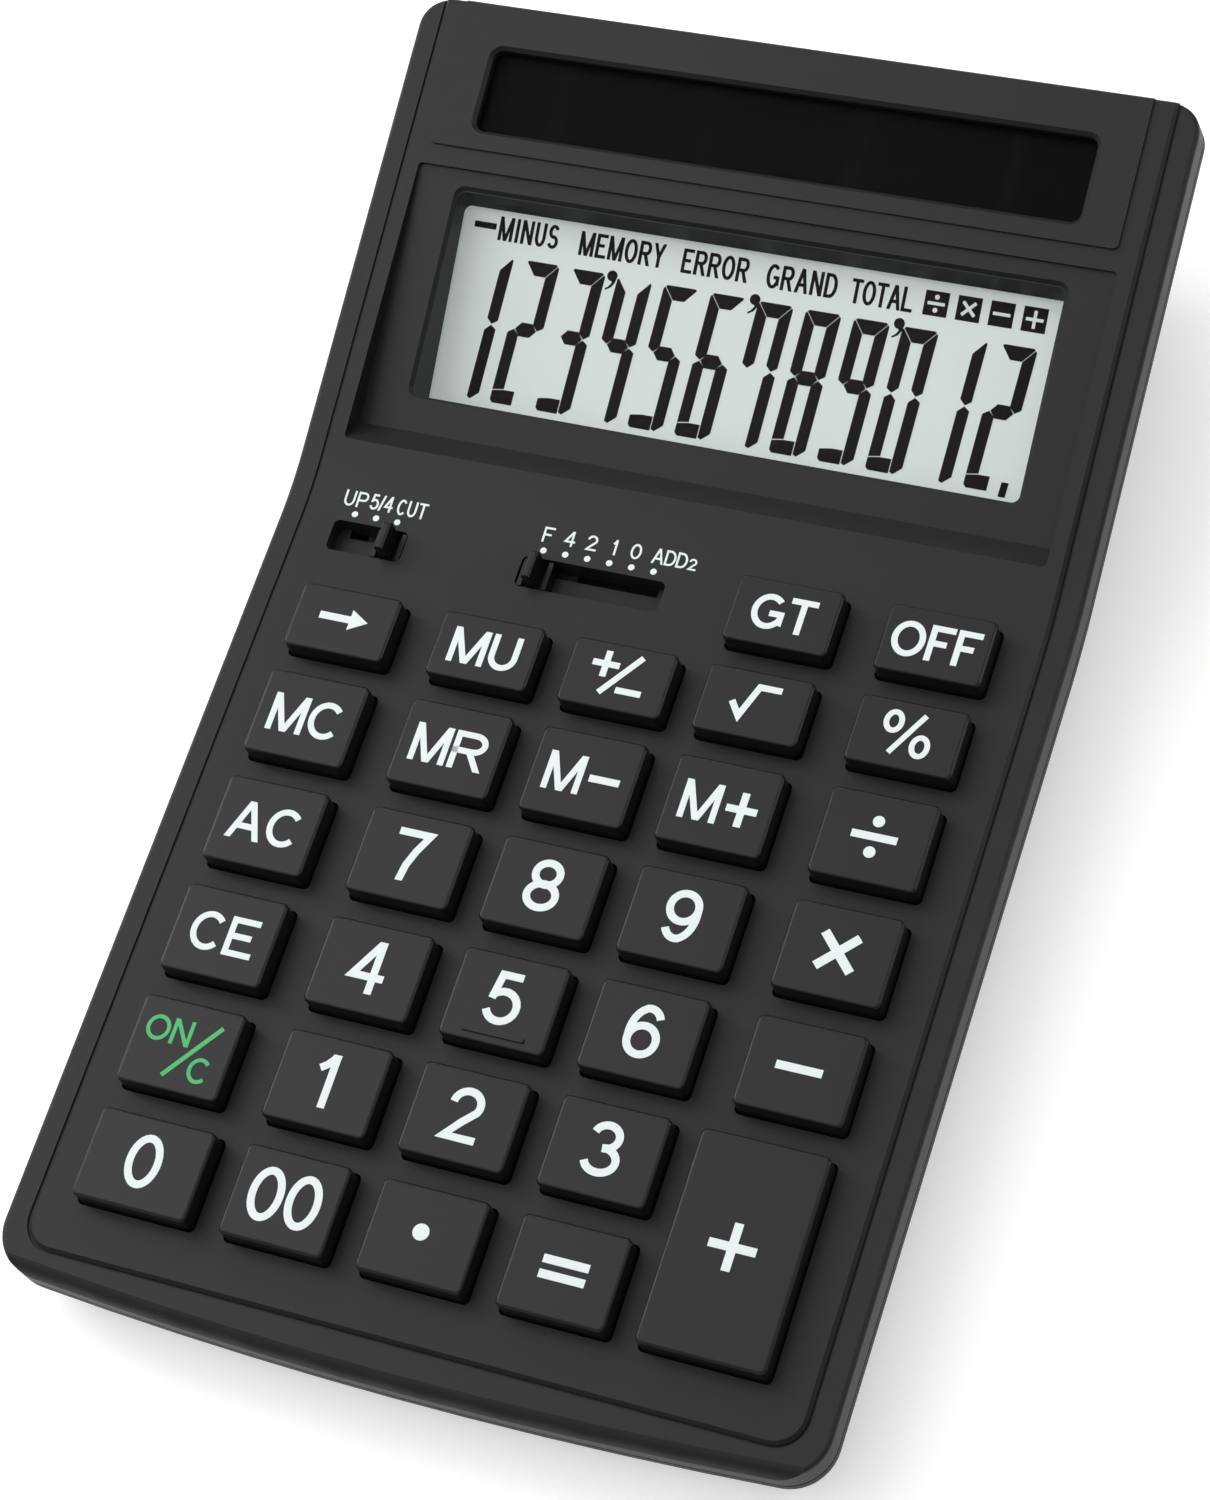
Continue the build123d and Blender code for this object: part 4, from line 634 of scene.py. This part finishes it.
# %% [markdown]
# The rest are signs of arithmetic and a few mixed legends. They are bars, dots and single strokes whose
# places were measured on the key tops in millimetres from the middle of each key. The first of them mix a
# bar with a letter, or repeat a figure, and each is drawn by a small function of its own.

# %% Memory keys and double zero
MEMORY_LEFT, MEMORY_PEN = -4.85, 0.95
MEMORY_SIGN = (2.9, -0.1)
PAIR_WIDE, PAIR_PLACE, PAIR_LOW = 4.5, 2.45, -3.4


def print_keys(drawings, finish=WHITE_PAINT):
    for name, draw in drawings.items():
        printed = Print()
        draw(printed)
        legend(name, printed, finish)
    print("Printed:", ", ".join(drawings))


def memory_minus(printed):
    printed.sign("M", MEMORY_LEFT, -LETTER_HIGH / 2, LETTER_WIDE["M"], LETTER_HIGH, LETTER_PEN)
    printed.bar(*MEMORY_SIGN, 4.0, MEMORY_PEN)


def memory_plus(printed):
    memory_minus(printed)
    printed.bar(*MEMORY_SIGN, MEMORY_PEN, 4.6)


def double_zero(printed):
    for side in (-1, 1):
        left = side * PAIR_PLACE - PAIR_WIDE / 2
        printed.sign("0", left, PAIR_LOW, PAIR_WIDE, FIGURE_HIGH, FIGURE_PEN)


print_keys({"memory_minus": memory_minus, "memory_plus": memory_plus, "double_zero": double_zero})

# %% [markdown]
# The signs of the sums are plain bars and dots, a little heavier than the letters.

# %% Signs of the sums
SUM_LONG, SUM_PEN = 5.8, 1.05
PLUS_LONG, PLUS_PEN = 5.9, 1.1
CROSS_WIDE, CROSS_HIGH, CROSS_PEN = 4.4, 4.5, 1.15
DIVIDE_PEN, DIVIDE_DOT = 1.0, 0.75


def divide(printed):
    printed.bar(0.0, 0.1, SUM_LONG, DIVIDE_PEN)
    for lift in (2.15, -1.95):
        printed.dot(0.0, lift, DIVIDE_DOT)


def multiply(printed):
    across, up = CROSS_WIDE / 2, CROSS_HIGH / 2
    for side in (-1, 1):
        printed.stroke([(-across * side, -up), (across * side, up)], CROSS_PEN)


def minus(printed):
    printed.bar(-0.15, 0.0, SUM_LONG, SUM_PEN)


def plus(printed):
    printed.bar(-0.15, 0.05, PLUS_LONG, PLUS_PEN)
    printed.bar(-0.15, 0.05, PLUS_PEN, PLUS_LONG)


def equals(printed):
    for lift in (0.95, -0.9):
        printed.bar(0.05, lift, SUM_LONG, SUM_PEN)


def point(printed):
    printed.dot(-0.25, 0.25, 1.05)


print_keys({"divide": divide, "multiply": multiply, "minus": minus, "plus": plus, "equals": equals,
            "point": point})

# %% [markdown]
# The last legends are an arrow, a change of sign, a root, a percent sign, and the green words of the key
# that switches on, which stand to either side of a slanting line.

# %% Mixed legends
CHANGE_LONG, CHANGE_PEN = 3.6, 0.85
PERCENT_RING, PERCENT_PEN = (0.95, 1.25), 0.7
GREEN_HIGH, GREEN_PEN = 3.35, 0.5


def shift(printed):
    printed.bar(-1.15, 0.3, 4.4, 1.0)
    printed.prism([(0.9, -1.15), (3.4, 0.3), (0.9, 1.75)])


def change_sign(printed):
    printed.bar(-1.95, 1.4, CHANGE_LONG, CHANGE_PEN)
    printed.bar(-1.95, 1.4, CHANGE_PEN, CHANGE_LONG)
    printed.stroke([(-1.75, -2.6), (2.55, 3.1)], 0.8)
    printed.bar(2.0, -1.85, 3.4, CHANGE_PEN)


def root(printed):
    printed.stroke([(-2.75, -0.05), (-1.4, -1.9), (0.2, 2.35), (3.1, 2.35)], 0.85)


def percent(printed):
    printed.stroke(ring(-2.0, 1.5, *PERCENT_RING), PERCENT_PEN)
    printed.stroke(ring(2.0, -1.25, *PERCENT_RING), PERCENT_PEN)
    printed.stroke([(-1.6, -2.7), (1.75, 2.95)], PERCENT_PEN)


def on_clear(printed):
    printed.word("ON", -5.3, 0.0, GREEN_HIGH, GREEN_PEN, {"O": 3.2, "N": 2.7}, 0.3)
    printed.stroke([(-1.1, -4.1), (4.55, 3.4)], 0.6)
    printed.sign("C", 1.9, -4.2, 2.9, GREEN_HIGH, GREEN_PEN)


print_keys({"shift": shift, "sign": change_sign, "root": root, "percent": percent})
print_keys({"on_clear": on_clear}, GREEN_PAINT)

# %% [markdown]
# Each switch has a scale of round dots, one for each place of its knob, and small words above them. Dots
# that repeat at one pitch are a task for Geometry Nodes: a line of points, a disc on each, then Realize
# Instances and Set Material, because an export keeps plain meshes only. The tree's inputs are set through
# their identifiers, and the evaluated result replaces the modifier.

# %% Tree for a row of dots
def make_dot_tree():
    tree = bpy.data.node_groups.new("scale_dots", "GeometryNodeTree")
    socket(tree, "Geometry", "INPUT", "NodeSocketGeometry")
    socket(tree, "Count", "INPUT", "NodeSocketInt", 3)
    socket(tree, "Pitch", "INPUT", "NodeSocketFloat", 0.003)
    socket(tree, "Radius", "INPUT", "NodeSocketFloat", 0.0005)
    socket(tree, "Height", "INPUT", "NodeSocketFloat", 0.00003)
    socket(tree, "Paint", "INPUT", "NodeSocketMaterial")
    socket(tree, "Geometry", "OUTPUT", "NodeSocketGeometry")
    given, out = node(tree, "NodeGroupInput"), node(tree, "NodeGroupOutput")
    step = node(tree, "ShaderNodeCombineXYZ")
    row = node(tree, "GeometryNodeMeshLine", mode="OFFSET")
    disc = node(tree, "GeometryNodeMeshCylinder")
    disc.inputs["Vertices"].default_value = DOT_CORNERS
    spread = node(tree, "GeometryNodeInstanceOnPoints")
    plain = node(tree, "GeometryNodeRealizeInstances")
    cover = node(tree, "GeometryNodeSetMaterial")
    wire(tree, given.outputs["Count"], row.inputs["Count"])
    wire(tree, given.outputs["Pitch"], step.inputs["X"])
    wire(tree, step.outputs["Vector"], row.inputs["Offset"])
    wire(tree, given.outputs["Radius"], disc.inputs["Radius"])
    wire(tree, given.outputs["Height"], disc.inputs["Depth"])
    wire(tree, row.outputs["Mesh"], spread.inputs["Points"])
    wire(tree, disc.outputs["Mesh"], spread.inputs["Instance"])
    wire(tree, spread.outputs["Instances"], plain.inputs["Geometry"])
    wire(tree, plain.outputs["Geometry"], cover.inputs["Geometry"])
    wire(tree, given.outputs["Paint"], cover.inputs["Material"])
    wire(tree, cover.outputs["Geometry"], out.inputs["Geometry"])
    return tree


DOTS = make_dot_tree()
print("Dot tree:", DOTS.name, "with", len(DOTS.nodes), "nodes")

# %% [markdown]
# The deck starts to curve up into the head just before the dots, so both dots and words are lifted onto the
# curve, which is a circle that touches the deck there. The dots are grown first.

# %% Dots of the switches
HEAD_TILT = radians(13.3)
BEND_RADIUS = 40.0
SWITCH_PITCH = 3.03
DOT_LINE, DOT_RADIUS = -3.07, 0.43
SCALES = {"rounding_dots": (-43.06, 3), "decimal_dots": (-16.4, 6)}


def deck_height(y):
    """Height of the printed surface above the deck plane, which starts to curve up before the bend."""
    into_bend = y + BEND_RADIUS * tan(HEAD_TILT / 2)
    return BEND_RADIUS - sqrt(BEND_RADIUS ** 2 - into_bend ** 2) if into_bend > 0 else 0.0


def grown(name, tree, values, place):
    """Plain mesh object from a Geometry Nodes tree, with its place moved into its mesh."""
    seed = bpy.data.objects.new(name + "_seed", bpy.data.meshes.new(name + "_seed"))
    scene.collection.objects.link(seed)
    modifier = seed.modifiers.new("grow", "NODES")
    modifier.node_group = tree
    for item in tree.interface.items_tree:
        if item.item_type == "SOCKET" and item.in_out == "INPUT" and item.name in values:
            modifier[item.identifier] = values[item.name]
    bpy.context.view_layer.update()
    depsgraph = bpy.context.evaluated_depsgraph_get()
    mesh = bpy.data.meshes.new_from_object(seed.evaluated_get(depsgraph))
    mesh.name = name
    bpy.data.objects.remove(seed)
    mesh.transform(place)
    made = bpy.data.objects.new(name, mesh)
    scene.collection.objects.link(made)
    return made


for name, (first, count) in SCALES.items():
    at = DECK @ Vector((first, DOT_LINE, deck_height(DOT_LINE) + PAINT / 2))
    place = Matrix.Translation(at * MM) @ Matrix.Rotation(DECK_TILT, 4, "X")
    values = {"Count": count, "Pitch": SWITCH_PITCH * MM, "Radius": DOT_RADIUS * MM, "Height": PAINT * MM,
              "Paint": WHITE_PAINT}
    dots = grown(name, DOTS, values, place)
    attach(dots, "case")
    print(name, "has", len(dots.data.polygons), "faces")

# %% [markdown]
# The words above the dots are the same strokes as on the keys, only smaller and closer. Their places are
# given in the plane of the deck, from the middle of the bend.

# %% Words above the switches
SCALE_PEN = 0.28
SMALL = {"": 1.45, "1": 0.65, "A": 1.6}
SCALE_WORDS = [
    ("UP", -45.2, -2.05, 2.2, {"": 1.5}, 0.3), ("5/4", -41.5, -1.97, 2.2, {"": 1.2, "/": 0.75}, 0.04),
    ("CUT", -37.65, -2.03, 2.2, {"": 1.25}, 0.22), ("F", -17.1, -1.9, 2.1, SMALL, 0.2),
    ("4", -14.05, -1.9, 2.1, SMALL, 0.2), ("2", -11.05, -1.9, 2.1, SMALL, 0.2),
    ("1", -7.6, -1.9, 2.1, SMALL, 0.2), ("0", -5.0, -1.9, 2.1, SMALL, 0.2),
    ("ADD", -2.0, -1.95, 2.1, SMALL, 0.12),
]
LAST_GAP, LAST_LOW, LAST_WIDE, LAST_HIGH, LAST_PEN = 0.2, -1.95, 1.1, 1.6, 0.25
scale_words = Print()
for word, left, low, high, widths, gap in SCALE_WORDS:
    ending = scale_words.word(word, left, low, high, SCALE_PEN, widths, gap)
scale_words.sign("2", ending + LAST_GAP, LAST_LOW, LAST_WIDE, LAST_HIGH, LAST_PEN)
scale_words.piece("switch_words", DECK, WHITE_PAINT, "case", deck_height)
print("Strokes in the switch words:", scale_words.layers)

# %% [markdown]
# The display shows a row of slanted seven-segment figures. Upright segments are narrower than level ones,
# their outer corners are cut off, and thin light gaps part them where they meet: on the slant at the top,
# level at the lower left and upright at the lower right. The outlines are written for an upright figure.

# %% Outlines of the segments
DIGIT_WIDE, DIGIT_MIDDLE = 4.85, 10.16
UPRIGHT, LEVEL, CORNER, GAP = 1.58, 1.88, 0.4, 0.06
INNER = DIGIT_WIDE - UPRIGHT
OUTER_START, INNER_START = 0.6, 0.8
JOINT_FALL, SHOULDER = 0.25, 0.1
FOOT_CUT, FOOT_TIP, FOOT_CORNER = 0.95, 0.5, 0.25


def upper_half(length):
    """Level and right-hand segment above the middle of a figure, parted on the slant."""
    cut = CORNER / 2
    level = [(UPRIGHT + GAP, length - LEVEL), (INNER - GAP, length - LEVEL),
             (DIGIT_WIDE - cut - GAP, length - cut), (DIGIT_WIDE - CORNER - GAP, length),
             (CORNER + GAP, length), (cut + GAP, length - cut)]
    upright = [(DIGIT_WIDE - UPRIGHT / 2, GAP), (DIGIT_WIDE, OUTER_START),
               (DIGIT_WIDE, length - CORNER - GAP), (DIGIT_WIDE - cut, length - cut - GAP),
               (INNER, length - LEVEL - GAP), (INNER, INNER_START)]
    return level, upright


def lower_half(length):
    """Level, right-hand and left-hand segment below the middle, with y measured down from it."""
    floor = length - LEVEL
    level = [(0.0, floor + JOINT_FALL), (UPRIGHT, floor), (INNER - 2 * GAP, floor),
             (INNER - 2 * GAP, length), (CORNER, length), (0.0, length - CORNER)]
    right = [(DIGIT_WIDE - UPRIGHT / 2, GAP), (DIGIT_WIDE, OUTER_START), (DIGIT_WIDE, length - FOOT_CUT),
             (INNER + FOOT_TIP, length), (INNER, length - FOOT_CORNER), (INNER, INNER_START)]
    left = [(UPRIGHT / 2, GAP), (UPRIGHT, INNER_START), (UPRIGHT, floor - 2 * GAP),
            (0.0, floor + JOINT_FALL - 2 * GAP), (0.0, OUTER_START)]
    return level, right, left


def raised(outline):
    return [(x, DIGIT_MIDDLE + y) for x, y in outline]


def lowered(outline):
    return [(x, DIGIT_MIDDLE - y) for x, y in reversed(outline)]


def mirrored(outline):
    return [(DIGIT_WIDE - x, y) for x, y in reversed(outline)]


def segment_outlines(high):
    """Outline of each of the seven segments in an upright figure."""
    top, upper = upper_half(high - DIGIT_MIDDLE)
    bottom, right, left = lower_half(DIGIT_MIDDLE)
    tip, shoulder, half = UPRIGHT / 2 + 2 * GAP, UPRIGHT + SHOULDER, LEVEL / 2
    bar = [(tip, 0.0), (shoulder, -half), (DIGIT_WIDE - shoulder, -half), (DIGIT_WIDE - tip, 0.0),
           (DIGIT_WIDE - shoulder, half), (shoulder, half)]
    return {"a": raised(top), "b": raised(upper), "c": lowered(right), "d": lowered(bottom),
            "e": lowered(left), "f": mirrored(raised(upper)), "g": raised(bar)}


print("Gap between segments:", GAP, "mm")

# %% [markdown]
# A figure is a choice of segments, so one table draws all twelve. The figures are leaned over by a shear,
# and each is slightly shorter than the one on its left. Three raised marks split the thousands, and a point
# ends the row.

# %% Figures of the display
DIGIT_PITCH, DIGIT_HIGH, DIGIT_FALL = 6.578, 19.36, 0.056
DIGIT_LEFT, DIGIT_LOW, SLANT = -40.05, 3.94, 0.074
SHOWN = {"0": "abcdef", "1": "bc", "2": "abged", "3": "abgcd", "4": "fgbc", "5": "afgcd", "6": "afgedc",
         "7": "abcf", "8": "abcdefg", "9": "abcdfg"}
MARKS, MARK_LINE, MARK_RADIUS = (-19.7, 0.3, 20.0), 23.05, 0.72
MARK_TAIL = [(-0.62, -1.95), (0.1, -1.5), (0.55, -0.8), (0.7, 0.0), (0.0, -0.3), (0.05, -0.95), (-0.3, -1.45),
             (-0.75, -1.75)]
POINT = [(37.05, 3.5), (38.0, 3.5), (38.18, 5.4), (37.23, 5.4)]
figures = Print()
for place, figure in enumerate("123456789012"):
    left = DIGIT_LEFT + DIGIT_PITCH * place
    outlines = segment_outlines(DIGIT_HIGH - DIGIT_FALL * place)
    for letter in SHOWN[figure]:
        figures.prism([(left + x + SLANT * y, DIGIT_LOW + y) for x, y in outlines[letter]])
for mark in MARKS:
    figures.dot(mark, MARK_LINE, MARK_RADIUS)
    figures.prism([(mark + x, MARK_LINE + y) for x, y in MARK_TAIL])
figures.prism(POINT)
figures.piece("display_figures", LCD, SEGMENT_INK, "case")
print("Segments and marks shown:", figures.layers)

# %% [markdown]
# Above the figures is a row of indicator words in narrow capitals, with a dash before the first of them.

# %% Indicator words
NARROW = {"": 1.5, "M": 2.05, "N": 1.65, "I": 0.55, "O": 1.75, "G": 1.75, "A": 1.8, "D": 1.7, "R": 1.65,
          "Y": 1.7}
WORD_HIGH, WORD_PEN = 3.2, 0.45
DASH_PLACE, DASH_SIZE = (-38.7, 26.95), (3.15, 0.83)
STATES = [("MINUS", -36.7, 25.25, 0.33), ("MEMORY", -25.05, 25.05, 0.27), ("ERROR", -10.55, 24.95, 0.26),
          ("GRAND", 1.25, 24.8, 0.28), ("TOTAL", 12.8, 24.65, 0.1)]
indicators = Print()
indicators.bar(*DASH_PLACE, *DASH_SIZE)
for word, left, low, gap in STATES:
    indicators.word(word, left, low, WORD_HIGH, WORD_PEN, NARROW, gap)
print("Indicator words:", len(STATES))

# %% [markdown]
# The row ends in four dark boxes with the sign of the operation left light in them. A light sign is a layer
# with the panel's own finish just above the ink, painted glow included, which is simpler than cutting the
# sign out of its box.

# %% Boxes with light signs
BOX, BOX_MIDDLE, BOX_FIRST, BOX_PITCH = 3.2, 26.3, 24.28, 4.36
LIGHT_LONG, LIGHT_PEN, LIGHT_REACH, LIGHT_DOT = 2.3, 0.42, 0.85, 0.32
light_signs = Print()
for index, kind in enumerate("/x-+"):
    middle = BOX_FIRST + BOX_PITCH * index
    low, high = BOX_MIDDLE - LIGHT_REACH, BOX_MIDDLE + LIGHT_REACH
    indicators.bar(middle, BOX_MIDDLE, BOX, BOX)
    if kind == "x":
        for reach in (-LIGHT_REACH, LIGHT_REACH):
            light_signs.stroke([(middle - reach, low), (middle + reach, high)], LIGHT_PEN)
    else:
        light_signs.bar(middle, BOX_MIDDLE, LIGHT_LONG, LIGHT_PEN)
    if kind == "+":
        light_signs.bar(middle, BOX_MIDDLE, LIGHT_PEN, LIGHT_LONG)
    if kind == "/":
        light_signs.dot(middle, high, LIGHT_DOT)
        light_signs.dot(middle, low, LIGHT_DOT)
indicators.piece("display_words", LCD, SEGMENT_INK, "case")
OVER_INK = LCD @ Matrix.Translation((0, 0, PAINT))
# The light signs share the panel's painted glow.
light_signs.piece("display_signs", OVER_INK, FINISHES["glowing_display_panel"], "case")
print("Indicator strokes:", indicators.layers, "and light signs:", light_signs.layers)

# %% [markdown]
# The calculator stands on a plain pale floor. The photograph's ground is pure white, so the floor adds a
# little of its own light for rays that come from the camera, or from gloss and clear plates, and still
# shows the soft shadow of the case.

# %% Floor
FLOOR_HALF = 3.0
FLOOR_GLOW = 0.44


def only_for_view(tree):
    """One where a ray comes from the camera, a gloss or a clear plate, and zero elsewhere."""
    path = node(tree, "ShaderNodeLightPath")
    first = node(tree, "ShaderNodeMath", operation="MAXIMUM")
    second = node(tree, "ShaderNodeMath", operation="MAXIMUM")
    wire(tree, path.outputs["Is Camera Ray"], first.inputs[0])
    wire(tree, path.outputs["Is Glossy Ray"], first.inputs[1])
    wire(tree, first.outputs[0], second.inputs[0])
    wire(tree, path.outputs["Is Transmission Ray"], second.inputs[1])
    return second.outputs[0]


def floor_material():
    made, tree, shader, _ = new_material("studio_floor")
    shader.inputs["Base Color"].default_value = (0.8, 0.8, 0.8, 1)
    shader.inputs["Roughness"].default_value = 0.9
    shader.inputs["Specular IOR Level"].default_value = 0.1
    glow = node(tree, "ShaderNodeEmission")
    both = node(tree, "ShaderNodeAddShader")
    strength = node(tree, "ShaderNodeMath", operation="MULTIPLY")
    strength.inputs[1].default_value = FLOOR_GLOW
    wire(tree, only_for_view(tree), strength.inputs[0])
    wire(tree, strength.outputs[0], glow.inputs["Strength"])
    wire(tree, shader.outputs["BSDF"], both.inputs[0])
    wire(tree, glow.outputs["Emission"], both.inputs[1])
    wire(tree, both.outputs["Shader"], tree.nodes["Material Output"].inputs["Surface"])
    return made


floor_mesh = bpy.data.meshes.new("floor")
corners = [(-FLOOR_HALF, -FLOOR_HALF, 0), (FLOOR_HALF, -FLOOR_HALF, 0), (FLOOR_HALF, FLOOR_HALF, 0),
           (-FLOOR_HALF, FLOOR_HALF, 0)]
floor_mesh.from_pydata(corners, [], [(0, 1, 2, 3)])
floor_mesh.materials.append(floor_material())
floor = bpy.data.objects.new("floor", floor_mesh)
scene.collection.objects.link(floor)
floor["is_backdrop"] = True
print("Floor is", 2 * FLOOR_HALF, "m wide")

# %% [markdown]
# Most of the light comes from two wide soft boxes. The one on the left is mirrored by the dark satin plastic
# as a grey that fades to the right, and the one overhead lights the display down in its well. Narrow boxes on
# either side and behind draw the thin bright edges of keys and rim, and a dim world fills the shadows.

# %% World and lamps
WORLD_FILL = 0.18
MIDDLE = (0, 0, 0.02)
LAMPS = {
    "key_box": ((-0.95, 0.0, 0.95), MIDDLE, (1.3, 1.6), 7.2),
    "overhead_box": ((-0.2, -0.1, 1.05), (-0.05, -0.02, 0.02), (1.9, 1.9), 9.0),
    "left_strip": ((-0.95, 0.25, 0.55), MIDDLE, (0.12, 0.9), 3.1),
    "right_strip": ((0.9, 0.45, 0.5), MIDDLE, (0.12, 0.9), 2.2),
    "back_strip": ((-0.36, 0.86, 0.6), MIDDLE, (0.9, 0.12), 2.35),
}
world = bpy.data.worlds.new("studio")
scene.world = world
world.use_nodes = True
ambient = world.node_tree.nodes["Background"]
ambient.inputs["Strength"].default_value = WORLD_FILL
ambient.inputs["Color"].default_value = (1, 1, 1, 1)


def soft_box(name, place, aim, size, power):
    lamp = bpy.data.lights.new(name, "AREA")
    lamp.shape = "RECTANGLE"
    lamp.size, lamp.size_y = size
    lamp.energy = power
    made = bpy.data.objects.new(name, lamp)
    scene.collection.objects.link(made)
    made.location = place
    made.rotation_euler = (Vector(aim) - Vector(place)).to_track_quat("-Z", "Y").to_euler()


for name, setting in LAMPS.items():
    soft_box(name, *setting)

# %% [markdown]
# The camera was found from the photograph: all corners of the keys lie on one plane in a known grid, which
# fixes the focal length, the distance and the turn of the picture. Its axes are written as the rows that
# point right, up and back.

# %% Camera
CAMERA_PLACE = Vector((0.154837, -0.187339, 0.427809))
RIGHT = (0.925799, 0.315570, -0.208116)
UP = (-0.194005, 0.869157, 0.454894)
BACK = (0.324437, -0.380765, 0.865886)
SENSOR, FOCAL_PIXELS, IMAGE_PIXELS = 36.0, 3828.76, 1500
NEAREST = 0.01
lens = bpy.data.cameras.new("camera")
lens.sensor_width = SENSOR
lens.lens = SENSOR * FOCAL_PIXELS / IMAGE_PIXELS
lens.clip_start = NEAREST
camera = bpy.data.objects.new("camera", lens)
scene.collection.objects.link(camera)
turn = Matrix((RIGHT, UP, BACK)).transposed().to_4x4()
camera.matrix_world = Matrix.Translation(CAMERA_PLACE) @ turn
scene.camera = camera
scene.view_settings.view_transform = "Standard"
print("Lens of", round(lens.lens, 1), "mm")

# %% [markdown]
# Last, the size of the box of the dressed calculator is printed.

# %% Sizes and finish
low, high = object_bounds()
print("Visual box in mm:", [round(size / MM, 1) for size in high - low])
